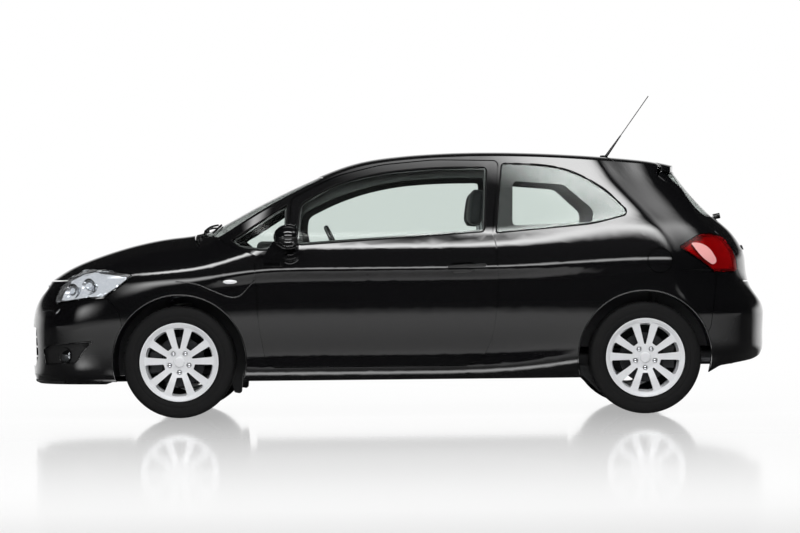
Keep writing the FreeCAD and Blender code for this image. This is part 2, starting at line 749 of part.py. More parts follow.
feature("bonnet", bonnet)
feature("tailgate_glass", tailgate_glass)
feature("headlamps", both(headlamps))
feature("tail_lamps", both(tail_lamps))
feature("front_bumper", front_bumper)
feature("rear_bumper", rear_bumper)
feature("door_left", door)
feature("door_right", mirrored(door))
feature("door_glass_left", door_glass)
feature("door_glass_right", mirrored(door_glass))
feature("side_glass", Part.makeCompound([both(quarter_glass), both(front_light)]))
feature("windscreen", windscreen)
feature("front_wings", both(wings))

# The cowl between the bonnet and the windscreen
cowl_zone = block(-1300, -690, 700, -1000, 690, 1300)
feature("cowl", solids_of(rest.common(cowl_zone)))
rest = rest.cut(cowl_zone)

# Fuel flap, on the left side only
flap_x = 1462
flap_z = 854


def flap_disc(radius):
    return Part.makeCylinder(radius, 260, Vector(flap_x, -960, flap_z), Vector(0, 1, 0))


fuel_flap = flap_disc(FLAP - gap).common(wall).cut(door_skin)
side_panel = left_of(rest)
side_panels = Part.makeCompound([
    side_panel.cut(flap_disc(FLAP).common(block(1300, -960, 700, 1600, -826, 1000))),
    mirrored(side_panel)])
feature("side_panels", side_panels)
feature("fuel_flap", fuel_flap)


# Floor, bulkhead and rails as one welded shell, and the wheelhouses with their strut towers
liner = size("liner_thick")
arch = size("arch_radius")
floor_z = size("floor_height")
floor_top = floor_z + size("floor_thick")
front_house = 455
rear_house = 600
boot_z = 372
boot_top = boot_z + 25
step_x = 860
bulkhead_x = -1150
tunnel_half = 90
tunnel_top = 345
tower = Vector(front_axle_x, 566, 600)
tower_r = 88


def wheelhouse(x, near, radius):
    return both(Part.makeCylinder(radius, far - near, Vector(x, -far, axle_z), Vector(0, 1, 0)))


def tower_post(radius, height):
    return both(Part.makeCylinder(radius, height, Vector(tower.x, -tower.y, tower.z)))


pan = [
    block(bulkhead_x, -900, floor_z, step_x + 25, 900, floor_top),
    block(bulkhead_x, -tunnel_half - 25, floor_z, step_x + 25, tunnel_half + 25, tunnel_top + 20),
    block(step_x, -900, floor_z, step_x + 25, 900, boot_top),
    block(step_x, -900, boot_z, 1985, 900, boot_top),
    block(1960, -640, boot_z, 1985, 640, 700),
    block(bulkhead_x, -900, floor_z, bulkhead_x + 25, 900, 1010),
    block(-1980, -560, 400, -1935, 560, 520),
]
for y in (-455, 400):
    pan.append(block(-1960, y, 400, bulkhead_x + 25, y + 55, 500))
floor_shell = pan[0].multiFuse(pan[1:]).common(inner)
floor_shell = floor_shell.cut(block(bulkhead_x - 10, -tunnel_half, 0, step_x + 50, tunnel_half, tunnel_top))
houses = []
bays = ((front_axle_x, front_house), (rear_axle_x, rear_house))
for x, near in bays:
    floor_shell = floor_shell.cut(wheelhouse(x, near - liner, arch + liner))
    foot = floor_z if x < 0 else boot_z
    houses.append(wheelhouse(x, near - liner, arch + liner).common(block(-3000, -900, foot, 3000, 900, 1100)))
floor_shell = floor_shell.cut(tower_post(tower_r, 250))
houses = houses[0].multiFuse([houses[1], tower_post(tower_r, 250)]).common(inner)
for x, near in bays:
    houses = houses.cut(wheelhouse(x, near, arch))
houses = houses.cut(tower_post(tower_r - 8, 243)).cut(tower_post(18, 300))
houses = houses.cut(both(block(front_axle_x - 170, -front_house - 20, 0, front_axle_x + 170, 20 - front_house, 440)))
deflector = prism([(-965, floor_z + 5, 4), (-938, 128, 10), (-898, 120, 14), (-888, floor_z + 5, 4)], "XZ",
                  2 * liner - front_house, -380)
feature("floor_pan", solids_of(floor_shell.fuse(both(deflector))))
feature("wheelhouses", solids_of(houses))


# Wheels, drawn about the Y axis with the outer face towards -Y.
def ring_about_axis(points):
    """A profile (distance outwards along -Y, radius) turned about the wheel's axis."""
    wire = Part.makePolygon([Vector(0, -a, r) for a, r in points + points[:1]])
    return Part.Face(wire).revolve(Vector(0, 0, 0), Vector(0, 1, 0), 360)


tyre_r = size("tyre_radius")
tyre_half = size("tyre_width") / 2
rim_r = size("rim_radius")
rim_half = size("rim_width") / 2
lip_r = rim_r + size("rim_lip")
offset = size("spoke_offset")

TYRE = [
    (-rim_half + 3, rim_r), (-rim_half + 3, lip_r + 1), (-rim_half - 5, lip_r + 5), (-tyre_half, lip_r + 38),
    (-tyre_half + 2, tyre_r - 34), (-tyre_half + 13, tyre_r - 9), (-tyre_half + 32, tyre_r),
]
TYRE = TYRE + [(-a, r) for a, r in reversed(TYRE)]
RIM = [
    (-rim_half - 9, lip_r), (-rim_half, lip_r), (-rim_half + 3, rim_r), (-45, rim_r), (-30, rim_r - 14),
    (20, rim_r - 14), (36, rim_r), (rim_half - 3, rim_r), (rim_half, lip_r), (rim_half + 9, lip_r),
    (rim_half + 9, lip_r - 6), (rim_half, rim_r - 6), (40, rim_r - 7), (22, rim_r - 21), (-33, rim_r - 21),
    (-48, rim_r - 7), (-rim_half, rim_r - 6), (-rim_half - 9, lip_r - 6),
]
SPOKES = [
    (offset, 0), (offset, 76), (offset + 22, 110), (offset + 20, rim_r - 4), (offset + 48, rim_r - 3),
    (offset + 42, 120), (offset + 33, 64), (offset + 33, 0),
]


def at_angle(radius, degrees):
    turn = math.radians(degrees)
    return radius * math.cos(turn), radius * math.sin(turn)


def window(middle, inner_r, inner_half, outer_r, outer_half):
    """A gap between two spokes, as corners (x, z, corner radius)."""
    points = [at_angle(inner_r, middle - inner_half) + (7,), at_angle(outer_r, middle - outer_half) + (10,),
              at_angle(outer_r * 1.01, middle) + (150,), at_angle(outer_r, middle + outer_half) + (10,),
              at_angle(inner_r, middle + inner_half) + (7,)]
    return prism(points, "XZ", -200, 200)


def wheel_rim():
    wheel = ring_about_axis(SPOKES)
    cuts = []
    for i in range(5):
        pair = 90 + 72 * i
        cuts.append(window(pair, 74, 3.6, rim_r - 12, 9.4))
        cuts.append(window(pair + 36, 88, 9.6, rim_r - 12, 13.4))
        x, z = at_angle(size("bolt_circle") / 2, pair + 36)
        cuts.append(Part.makeCylinder(size("bolt_radius"), 200, Vector(x, -200, z), Vector(0, 1, 0)))
        cuts.append(Part.makeCylinder(size("bolt_radius") + 5, 200 - offset - 14, Vector(x, -200, z), Vector(0, 1, 0)))
    wheel = wheel.cut(Part.makeCompound(cuts))
    return wheel.fuse(ring_about_axis(RIM))


tyre_shape = ring_about_axis(TYRE)
rim_shape = wheel_rim()
hub_face = offset
disc_r = size("disc_radius")
disc_t = size("disc_thick")
OUTWARDS = Rotation(Vector(1, 0, 0), 90)
FRONT_AXLE = "sizes.front_overhang - sizes.car_length / 2"
REAR_AXLE = FRONT_AXLE + " + sizes.wheelbase"
HUB_FACE = "-sizes.half_track - sizes.spoke_offset"


def brake_disc(end, axle):
    """The left disc on its hat and spindle, from the face that the rim seats on inwards."""
    name = f"disc_{end}_left"
    ring_y = f"{HUB_FACE} + sizes.disc_hat_depth + sizes.disc_thick"
    ring = cylinder(f"{name}_ring", (axle, ring_y, "sizes.tyre_radius"), "sizes.disc_radius", "sizes.disc_thick",
                    OUTWARDS)
    hat = cylinder(f"{name}_hat", (axle, ring_y, "sizes.tyre_radius"), "sizes.disc_hat_radius",
                   "sizes.disc_thick + sizes.disc_hat_depth", OUTWARDS)
    room = cylinder(f"{name}_room", (axle, ring_y, "sizes.tyre_radius"),
                    "sizes.disc_hat_radius - sizes.disc_hat_wall - 2",
                    "sizes.disc_thick + sizes.disc_hat_depth - sizes.disc_hat_wall", OUTWARDS)
    spindle = cylinder(f"{name}_spindle", (axle, f"{HUB_FACE} + sizes.hub_spindle_depth", "sizes.tyre_radius"),
                       "sizes.hub_spindle_radius", "sizes.hub_spindle_depth", OUTWARDS)
    hollow = without(f"{name}_hollow", fused(f"{name}_body", [ring, hat]), room)
    return fused(name, [hollow, spindle])


for end, x, axle in (("front", front_axle_x, FRONT_AXLE), ("rear", rear_axle_x, REAR_AXLE)):
    place = Vector(x, -size("half_track"), axle_z)
    for kind, shape in (("tyre", tyre_shape), ("rim", rim_shape)):
        left = shape.translated(place)
        feature(f"{kind}_{end}_left", left)
        feature(f"{kind}_{end}_right", mirrored(left))
    disc = part(f"disc_{end}_left", brake_disc(end, axle))
    part(f"disc_{end}_right", mirror_of(f"disc_{end}_right", disc))


# Front knuckles, each with its strut on the line that the wheel steers about
pin_low = Vector(front_axle_x, -706, 190)
pin_high = Vector(front_axle_x, -566, 823)
pin_line = (pin_high - pin_low).normalize()
hub_y = -size("half_track") - hub_face + size("disc_hat_depth") + disc_t


def caliper(x, way):
    """A brake caliper over the rim of the disc at x, ahead of the axle for way -1 and behind it for 1."""
    y = hub_y - disc_t
    near, far_edge, bridge = disc_r - 46, disc_r + 30, disc_r + 7
    low_x, high_x = sorted((x + way * near, x + way * far_edge))
    slot_low, slot_high = sorted((x + way * (near - 10), x + way * bridge))
    piece = block(low_x, y - 28, axle_z - 62, high_x, y + disc_t + 26, axle_z + 62)
    piece = piece.makeFillet(9, piece.Edges)
    return piece.cut(block(slot_low, y - 3, axle_z - 70, slot_high, y + disc_t + 3, axle_z + 70))


def on_pin(height):
    return pin_low + pin_line * ((height - pin_low.z) / pin_line.z)


def knuckle():
    carrier = Part.makeCylinder(60, 62, Vector(front_axle_x, hub_y + 6, axle_z), Vector(0, 1, 0))
    pieces = [
        Part.makeCylinder(22, 60, on_pin(188), pin_line),
        Part.makeCylinder(24, 260, on_pin(375), pin_line),
        Part.makeCylinder(11, (820 - 600) / pin_line.z, on_pin(600), pin_line),
        block(front_axle_x - 24, -720, 200, front_axle_x + 24, -668, 290),
        block(front_axle_x - 26, -700, 330, front_axle_x + 26, -640, 430),
        block(front_axle_x - 150, hub_y + 8, axle_z - 24, front_axle_x, hub_y + 40, axle_z + 24),
        block(front_axle_x - 150, hub_y + 8, axle_z - 62, front_axle_x - 96, hub_y + 40, axle_z + 62),
        caliper(front_axle_x, -1),
    ]
    piece = carrier.multiFuse(pieces)
    return piece.cut(Part.makeCylinder(24.5, 400, Vector(front_axle_x, hub_y - 60, axle_z), Vector(0, 1, 0)))


left_knuckle = feature("knuckle_left", knuckle())
part("knuckle_right", mirror_of("knuckle_right", left_knuckle))

# Subframe, lower arms, rack and drive shafts
arm = prism([(-1198, -700, 16), (-1220, -722, 16), (-1242, -700, 16), (-1330, -390, 20), (-1330, -340, 2),
             (-1165, -340, 2), (-1150, -390, 20)], "XY", 166, 182)
engine = rounded("engine_case", box(
    "engine_box", (f"{FRONT_AXLE} - sizes.engine_lead", "-sizes.engine_width / 2", "sizes.engine_clearance"),
    "sizes.engine_length", "sizes.engine_width", "sizes.engine_height"), size("engine_round"))
mounts = box("engine_mounts", (f"{FRONT_AXLE} - 215", "-sizes.engine_width / 2 - 28", "420"),
             "80", "sizes.engine_width + 56", "60")
engine_block = part("engine_block", fused("engine_block", [engine, mounts]))

RACK_X = f"{FRONT_AXLE} + 95"
frame_pieces = [
    box("cross_member", (f"{FRONT_AXLE} - 115", "-sizes.member_width / 2", "sizes.member_low"),
        "sizes.member_length", "sizes.member_width", "sizes.member_height"),
    held("lower_arms", both(arm)),
    cylinder("steering_rack", (RACK_X, "sizes.rack_length / 2", "207"), "sizes.rack_radius", "sizes.rack_length",
             OUTWARDS),
    box("rack_foot_left", (f"{RACK_X} - 40", "-300", "180"), "40", "60", "46"),
    box("rack_foot_right", (f"{RACK_X} - 40", "240", "180"), "40", "60", "46"),
]
for way, name in ((-1, "left"), (1, "right")):
    turn = Rotation(Vector(1, 0, 0), -90 * way)
    frame_pieces.append(cylinder(f"drive_shaft_{name}", (FRONT_AXLE, str(360 * way), "sizes.tyre_radius"),
                                 "sizes.shaft_radius", "240", turn))
    frame_pieces.append(bound("Part::Cone", f"joint_boot_{name}", (FRONT_AXLE, str(560 * way), "sizes.tyre_radius"),
                              turn, Radius1="20", Radius2="40", Height="60"))
part("front_subframe", without("front_subframe", fused("subframe_pieces", frame_pieces), engine_block))

# Rear axle: a twist beam with a trailing arm, a stub, a damper and a caliper at each end
beam = box("twist_beam", (f"{REAR_AXLE} - 265", "-sizes.beam_width / 2", "sizes.beam_low"),
           "sizes.beam_length", "sizes.beam_width", "sizes.beam_height")
HUB_INNER = f"{HUB_FACE} + sizes.disc_hat_depth + sizes.disc_thick"
STUB_END = f"{HUB_INNER} + 6"
damper = Part.makeCylinder(size("damper_radius"), 500, Vector(rear_axle_x + 65, -rear_house - 25, axle_z - 14))
left_pieces = [
    box("trailing_arm", (f"{REAR_AXLE} - 365", "-600", "260"), "390", "60", "sizes.beam_height"),
    cylinder("stub", (REAR_AXLE, f"{STUB_END} + 60", "sizes.tyre_radius"), "sizes.stub_radius", "60", OUTWARDS),
    box("stub_arm", (f"{REAR_AXLE} - 40", STUB_END, "270"), "80", f"-560 - ({STUB_END})", "60"),
    held("damper_tube", damper.common(wheelhouse(rear_axle_x, rear_house, arch))),
    box("damper_foot", (f"{REAR_AXLE} + 5", "-645", "270"), "90", "110", "50"),
    held("rear_caliper", caliper(rear_axle_x, 1)),
    held("rear_deflector", prism([(1005, 240, 4), (1137, 110, 6), (1150, 118, 6), (1072, 268, 4), (1015, 268, 4)],
                                 "XZ", -635, -560)),
    box("caliper_arm", (REAR_AXLE, f"{STUB_END} + 2", "sizes.tyre_radius - 24"), "150", "32", "48"),
]
left_end = fused("axle_end_left", left_pieces)
axle = fused("axle_solid", [beam, left_end, mirror_of("axle_end_right", left_end)])
spindle_bore = bound("Part::Cylinder", "spindle_bore", (REAR_AXLE, "sizes.half_track + 60", "sizes.tyre_radius"),
                     OUTWARDS, Radius="sizes.hub_spindle_radius + 0.5", Height="400")
bores = fused("spindle_bores", [spindle_bore, mirror_of("spindle_bore_right", spindle_bore)])
part("rear_axle", without("rear_axle", axle, bores))

# Fuel tank under the rear seat, saddled over the exhaust pipe
tank = rounded("tank_case", box(
    "tank_box", (str(step_x + 30), "-sizes.tank_width / 2", "sizes.sill_height + sizes.tank_clearance"),
    "sizes.tank_length", "sizes.tank_width",
    f"{boot_z - 8} - sizes.sill_height - sizes.tank_clearance"), size("tank_round"))
part("fuel_tank", without("fuel_tank", tank, box("tank_saddle", ("800", "-50", "300"), "400", "100", "200")))
muffler = rounded("muffler_case", box(
    "muffler_box", ("1640", "-500", "sizes.muffler_low"), "sizes.muffler_length", "sizes.muffler_width",
    "sizes.muffler_height"), 40)


def bent_tube(points, radius):
    """A tube along a smooth curve through points."""
    path = Part.BSplineCurve()
    path.interpolate([Vector(*p) for p in points])
    start = path.value(path.FirstParameter)
    ring = Part.Wire(Part.makeCircle(radius, start, path.tangent(path.FirstParameter)[0]))
    sweep = Part.BRepOffsetAPI.MakePipeShell(Part.Wire(path.toShape()))
    sweep.add(ring)
    sweep.build()
    sweep.makeSolid()
    return sweep.shape()


pipe = bent_tube([(-1188, 0, 272), (-900, 0, 282), (0, 0, 282), (750, 0, 284), (960, 0, 340), (1150, 0, 347),
                  (1350, -60, 342), (1500, -240, 325), (1650, -300, 318)], 21)
part("exhaust", fused("exhaust", [muffler, held("exhaust_pipe", pipe)]))

# Cabin
DASH = [(-1100, 960, 20), (-820, 935, 120), (-640, 912, 50), (-600, 850, 40), (-640, 760, 60), (-700, 640, 60),
        (-760, 560, 40), (-1100, 560, 20)]
dash = prism(DASH, "XZ", -690, 690)
dash = dash.common(inner)
wheel_middle = Vector(-335, -370, 905)
column_rake = 25
column_line = Vector(math.cos(math.radians(column_rake)), 0, math.sin(math.radians(column_rake)))
column_r = 36
shaft_r = size("steering_shaft")
wheel_turn = Rotation(Vector(0, 1, 0), 90 - column_rake).multiply(Rotation(Vector(0, 0, 1), 90))
GRIP_MIDDLE = "sizes.steering_radius - sizes.steering_grip"
steering = [
    bound("Part::Torus", "steering_rim", Radius1=GRIP_MIDDLE, Radius2="sizes.steering_grip"),
    cylinder("steering_shaft", ("0", "0", "-170"), "sizes.steering_shaft", "150"),
    cylinder("steering_boss", ("0", "0", "-40"), "sizes.steering_boss", "45"),
    box("steering_spokes", (f"-({GRIP_MIDDLE})", "-sizes.spoke_width / 2", "-8"), f"2 * ({GRIP_MIDDLE})",
        "sizes.spoke_width", "sizes.spoke_thick"),
    box("steering_low_spoke", ("-sizes.spoke_width / 2", f"-({GRIP_MIDDLE})", "-8"), "sizes.spoke_width", GRIP_MIDDLE,
        "sizes.spoke_thick"),
]
steering_wheel = part("steering_wheel", fused("steering_wheel", steering))
steering_wheel.Placement = Placement(wheel_middle, wheel_turn)
column = Part.makeCylinder(column_r, 290, wheel_middle - column_line * 338, column_line)
bore = Part.makeCylinder(shaft_r + 3, 150, wheel_middle - column_line * 180, column_line)
dash = dash.fuse(column).cut(bore).cut(wheelhouse(front_axle_x, front_house - 20, arch + liner + 15))
feature("dashboard", solids_of(dash))
CUSHION = [(-60, 330, 40), (-50, 470, 60), (420, 440, 60), (440, 330, 40)]
BACK = [(330, 430, 40), (470, 1040, 50), (560, 1040, 50), (470, 430, 60)]
HEAD = [(396, 1062, 40), (420, 1270, 40), (500, 1270, 40), (500, 1062, 40)]


def seat(y, half):
    cushion = prism(CUSHION, "XZ", y - half, y + half)
    back = prism(BACK, "XZ", y - half + 10, y + half - 10)
    head = prism(HEAD, "XZ", y - 130, y + 130)
    posts = Part.makeCylinder(8, 60, Vector(470, y, 1020))
    base = block(-20, y - half + 60, floor_top, 400, y + half - 60, 340)
    return cushion.multiFuse([back, head, posts, base])


feature("front_seats", both(seat(-370, 250)))
rear_cushion = prism([(860, boot_top, 30), (850, 560, 60), (1340, 520, 60), (1340, boot_top, 30)], "XZ", -580, 580)
rear_back = prism([(1270, 480, 30), (1400, 1000, 50), (1490, 1000, 50), (1420, boot_top, 30),
                   (1300, boot_top)], "XZ", -580, 580)
feature("rear_seat", rear_cushion.fuse(rear_back))

# Mirrors: a rounded housing, open to the rear for its glass, on a foot at the door's corner
scale = FreeCAD.Matrix()
scale.scale(82, 96, 70)
shell_form = Part.makeSphere(1).transformGeometry(scale)
hollow = FreeCAD.Matrix()
hollow.scale(76, 90, 64)
hollow_form = Part.makeSphere(1).transformGeometry(hollow)
mirror_at = Vector(-608, -908, 1006)
housing = shell_form.cut(block(50, -200, -200, 200, 200, 200))
housing = housing.cut(hollow_form.common(block(38, -200, -200, 200, 200, 200))).translated(mirror_at)
mirror_foot = prism([(-768, 866, 10), (-722, 938, 30), (-690, 985, 20), (-600, 985, 20), (-648, 858, 20)], "XZ", -900,
                    -740).cut(outer)
mirror = housing.fuse(mirror_foot.cut(hollow_form.common(block(38, -200, -200, 200, 200, 200)).translated(mirror_at)))
feature("mirror_left", mirror)
part("mirror_right", mirror_of("mirror_right", parts["mirror_left"]))

# Aerial, wipers
foot = Vector(1213, 0, 1455)
mast = (Vector(1470, 0, 1814) - foot).normalize()
aerial = Part.makeCone(9, 4, 160, foot, mast).fuse(Part.makeCylinder(2.5, 441, foot, mast))
aerial = aerial.fuse(Part.makeCone(30, 18, 18, Vector(1205, 0, 1452))).cut(outer)
feature("roof_panel", Part.makeCompound([roof_panel, aerial]))
rear_wiper = Part.makeCylinder(7, 330, Vector(1868, -20, 1108), Vector(0, 1, 0)).fuse(
    Part.makeCylinder(16, 40, Vector(1840, 0, 1105), Vector(1, 0, 0.2)))
feature("tailgate", tailgate.fuse(rear_wiper.cut(outer)))

# Every object is up to date and every form is sound before anything is written.
doc.recompute()
faulty = [item.Name for item in doc.Objects if {"Invalid", "Touched"} & set(item.State)]
faulty += [item.Name for item in doc.Objects if hasattr(item, "Shape") and not item.Shape.isValid()]
faulty += [name for name, item in parts.items() if item.Shape.isNull() or item.Shape.Volume <= 0]
if faulty:
    raise RuntimeError("faulty objects: " + ", ".join(faulty))
os.makedirs("parts", exist_ok=True)
for name, item in parts.items():
    item.Shape.exportStep(f"parts/{name}.step")
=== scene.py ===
"""Looks for the three-door hatchback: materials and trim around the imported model, a studio and a camera.

Metres, with the front of the car towards -X, +Z up and its left side towards -Y.
"""

import json
import math

import bmesh
import bpy
from mathutils import Matrix, Vector

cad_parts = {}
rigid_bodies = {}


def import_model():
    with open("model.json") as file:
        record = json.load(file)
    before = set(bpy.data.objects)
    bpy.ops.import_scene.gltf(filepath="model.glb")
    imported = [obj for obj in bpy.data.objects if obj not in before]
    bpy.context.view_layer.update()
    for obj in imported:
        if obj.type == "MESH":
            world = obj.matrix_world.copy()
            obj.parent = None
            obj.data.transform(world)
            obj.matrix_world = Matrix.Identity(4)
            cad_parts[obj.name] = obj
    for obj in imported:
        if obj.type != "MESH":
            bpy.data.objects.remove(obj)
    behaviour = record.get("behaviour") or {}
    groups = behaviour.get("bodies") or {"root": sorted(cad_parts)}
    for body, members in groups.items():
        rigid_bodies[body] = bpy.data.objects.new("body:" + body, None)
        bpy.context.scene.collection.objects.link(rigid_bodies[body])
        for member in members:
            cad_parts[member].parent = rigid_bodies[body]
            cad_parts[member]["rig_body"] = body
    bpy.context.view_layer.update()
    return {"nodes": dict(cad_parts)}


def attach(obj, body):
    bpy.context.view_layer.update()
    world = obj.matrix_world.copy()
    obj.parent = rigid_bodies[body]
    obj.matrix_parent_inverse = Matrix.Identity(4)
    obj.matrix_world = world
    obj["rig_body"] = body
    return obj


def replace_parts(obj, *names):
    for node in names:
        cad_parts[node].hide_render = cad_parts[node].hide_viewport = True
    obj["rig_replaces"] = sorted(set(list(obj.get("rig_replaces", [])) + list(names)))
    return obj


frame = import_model()
nodes = frame["nodes"]

# Measures of the car that the pieces below share, and of the view
FRONT_AXLE_X = -1.225
REAR_AXLE_X = 1.375
AXLE_Z = 0.314
HALF_TRACK = 0.762
ARCH_RADIUS_MM = 375
CAMERA_AT = (0.012, -19.46, 0.835)
CAMERA_LENS_MM = 150.2
CAMERA_ROLL_DEGREES = 0.6


# Camera: about as far off as the photograph was taken, level with the door handles, with a slight roll
camera_data = bpy.data.cameras.new("camera")
camera_data.lens = CAMERA_LENS_MM
camera_data.sensor_width = 36
camera = bpy.data.objects.new("camera", camera_data)
camera.location = CAMERA_AT
camera.rotation_euler = (math.radians(90), math.radians(CAMERA_ROLL_DEGREES), 0)
bpy.context.scene.collection.objects.link(camera)
bpy.context.scene.camera = camera
bpy.context.scene.view_settings.view_transform = "Standard"


# Materials
def linear(code):
    """An sRGB hex colour as linear red, green, blue and 1."""
    values = [int(code[i:i + 2], 16) / 255 for i in (0, 2, 4)]
    return tuple(v / 12.92 if v <= 0.04045 else ((v + 0.055) / 1.055) ** 2.4 for v in values) + (1.0,)


def add_node(tree, kind, settings=None, sources=(), **links):
    """Adds a shader node, sets its attributes and sockets, and links sources to its first sockets and to named ones.

    A source that is a number is that socket's value.
    """
    item = tree.nodes.new(kind)
    for name, value in (settings or {}).items():
        if hasattr(item, name) and name not in item.inputs:
            setattr(item, name, value)
        else:
            item.inputs[name].default_value = value
    for number, source in enumerate(sources):
        if isinstance(source, float):
            item.inputs[number].default_value = source
        else:
            tree.links.new(source, item.inputs[number])
    for name, source in links.items():
        tree.links.new(source, item.inputs[name.replace("_", " ")])
    return item


def finish_of(name, colour, roughness, shade=None, bump=None, metallic=0.0, **sockets):
    """A Principled material, with other sockets of its shader by name.

    shade is a slow change between two hex colours, as (cells per metre, dark, light), and bump is a fine
    grain, as (cells per metre, height in metres).
    """
    material = bpy.data.materials.new(name)
    material.use_nodes = True
    tree = material.node_tree
    shader = tree.nodes["Principled BSDF"]
    shader.inputs["Base Color"].default_value = linear(colour)
    shader.inputs["Roughness"].default_value = roughness
    shader.inputs["Metallic"].default_value = metallic
    for socket, value in sockets.items():
        shader.inputs[socket.replace("_", " ")].default_value = value
    where = add_node(tree, "ShaderNodeTexCoord").outputs["Object"]
    if shade:
        scale, dark, light = shade
        noise = add_node(tree, "ShaderNodeTexNoise", {"Scale": scale, "Detail": 4.0}, Vector=where)
        mix = add_node(tree, "ShaderNodeMix", {"data_type": "RGBA"}, (noise.outputs["Fac"],))
        mix.inputs[6].default_value = linear(dark)
        mix.inputs[7].default_value = linear(light)
        tree.links.new(mix.outputs[2], shader.inputs["Base Color"])
    if bump:
        scale, height = bump
        noise = add_node(tree, "ShaderNodeTexNoise", {"Scale": scale, "Detail": 3.0}, Vector=where)
        relief = add_node(tree, "ShaderNodeBump", {"Strength": 1.0, "Distance": height}, Height=noise.outputs["Fac"])
        tree.links.new(relief.outputs["Normal"], shader.inputs["Normal"])
    return material


# Two-coat solid black paint: a near-black base under a deep clear coat
PAINT = finish_of("black_clearcoat_paint", "020203", 0.4, (900.0, "020203", "050507"),
                  Coat_Weight=1.0, Coat_Roughness=0.03, Coat_IOR=1.8, Specular_IOR_Level=0.05)
# Milky white acrylic over the side repeater: glossy, with a little depth
WHITE_LENS = finish_of("milky_white_acrylic", "F2F3F4", 0.12, (30.0, "ECEDEF", "F6F7F8"), Coat_Weight=0.6)
# Silvered mirror glass: flat, sharp and slightly grey
MIRROR = finish_of("silvered_mirror_glass", "B9BDC1", 0.02, (4.0, "B6BABE", "BCC0C4"), metallic=1.0)
# Ground steel, as on the front springs and behind the tail lamps: grey, with fine marks
BARE_STEEL = finish_of("ground_steel", "8D8F92", 0.32, (120.0, "838588", "989A9D"), metallic=1.0)
# Chrome plate on polished metal: a mirror with a cool tint and faint polishing marks
CHROME = finish_of("polished_chrome", "D5D7DA", 0.08, (50.0, "CFD2D6", "DCDDE0"), metallic=1.0)
# Moulded polypropylene: dark, with a soft sheen from its fine leather-like grain
GRAINED = finish_of("grained_polypropylene", "141415", 0.5, (60.0, "111112", "181819"), (1400.0, 0.00012))
# Polished black ABS, moulded: smooth and shiny without a clear coat
GLOSS = finish_of("gloss_black_abs", "0A0A0B", 0.12, (40.0, "09090A", "0D0D0E"))
# Float glass, bent and tinted: clear, with sharp reflections
GLASS = finish_of("tinted_float_glass", "E4EAE7", 0.0, Transmission_Weight=1.0, IOR=1.18)
# Vulcanised tyre rubber: charcoal, dull, with a fine even grain
RUBBER = finish_of("tyre_rubber", "131314", 0.66, (35.0, "0A0A0B", "101011"), (1800.0, 0.0001),
                   Specular_IOR_Level=0.25)
# Cast aluminium under silver lacquer: fine flake in the base and a clear coat on top
ALLOY = finish_of("silver_lacquered_aluminium", "F0F1F2", 0.3, (1200.0, "D6D8DB", "E8E9EB"), metallic=0.15,
                  Coat_Weight=0.8, Coat_Roughness=0.06)
# Turned cast iron: dark grey, with turning marks that blur the light
IRON = finish_of("turned_cast_iron", "77787A", 0.42, (90.0, "3C3C3E", "505153"), (700.0, 0.00008), metallic=1.0)
# Pressed steel with a dull black electro-coat and stone-chip guard
STEEL = finish_of("electrocoated_steel", "1E1F21", 0.55, (25.0, "191A1B", "26272A"), (500.0, 0.0002))
# Woven polyester seat cloth, dark grey, with a soft sheen at grazing angles
CLOTH = finish_of("woven_seat_cloth", "2A2B2E", 0.9, (500.0, "232427", "34363A"), (900.0, 0.0004),
                  Sheen_Weight=0.4, Sheen_Roughness=0.5)
# Moulded acrylic lamp lenses with a polished face: clear, red, and the paler reversing lamp
CLEAR_LENS = finish_of("clear_acrylic_lens", "F4F6F8", 0.02, Transmission_Weight=1.0, IOR=1.49)
RED_LENS = finish_of("red_acrylic_lens", "EE2A30", 0.02, Transmission_Weight=1.0, IOR=1.49)
PINK_LENS = finish_of("pale_red_acrylic", "E6A3A1", 0.1, Coat_Weight=0.8)

NODE_FINISH = {
    "bonnet": PAINT, "tailgate": PAINT, "tailgate_glass": GLASS, "headlamps": CLEAR_LENS,
    "tail_lamps": RED_LENS, "front_bumper": PAINT, "rear_bumper": PAINT, "door_left": PAINT,
    "door_right": PAINT, "door_glass_left": GLASS, "door_glass_right": GLASS, "side_glass": GLASS,
    "windscreen": GLASS, "roof_panel": PAINT, "front_wings": PAINT, "cowl": GRAINED, "side_panels": PAINT,
    "fuel_flap": PAINT, "floor_pan": STEEL, "knuckle_left": IRON, "knuckle_right": IRON,
    "front_subframe": STEEL, "engine_block": IRON, "rear_axle": STEEL, "fuel_tank": GRAINED,
    "exhaust": IRON, "dashboard": GRAINED, "steering_wheel": GRAINED, "front_seats": CLOTH,
    "rear_seat": CLOTH, "mirror_left": PAINT, "mirror_right": PAINT, "wheelhouses": STEEL,
}
for end in ("front", "rear"):
    for side in ("left", "right"):
        NODE_FINISH[f"tyre_{end}_{side}"] = RUBBER
        NODE_FINISH[f"rim_{end}_{side}"] = ALLOY
        NODE_FINISH[f"disc_{end}_{side}"] = IRON
for name, item in nodes.items():
    item.data.materials.clear()
    item.data.materials.append(NODE_FINISH[name])


# Modelling
def deselect():
    """Leaves any edit mode with nothing selected."""
    if bpy.context.object and bpy.context.object.mode != "OBJECT":
        bpy.ops.object.mode_set(mode="OBJECT")
    bpy.ops.object.select_all(action="DESELECT")


def settle(name, material, body, replaced=(), smooth=40):
    """Names the active object, puts its place into its mesh, gives it its finish and lets it ride on a body."""
    if bpy.context.object.mode != "OBJECT":
        bpy.ops.object.mode_set(mode="OBJECT")
    item = bpy.context.object
    bpy.ops.object.transform_apply(location=True, rotation=True, scale=True)
    item.name = name
    item.data.name = name
    item.data.materials.clear()
    item.data.materials.append(material)
    if smooth:
        bpy.ops.object.shade_smooth_by_angle(angle=math.radians(smooth))
    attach(item, body)
    if replaced:
        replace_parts(item, *replaced)
    return item


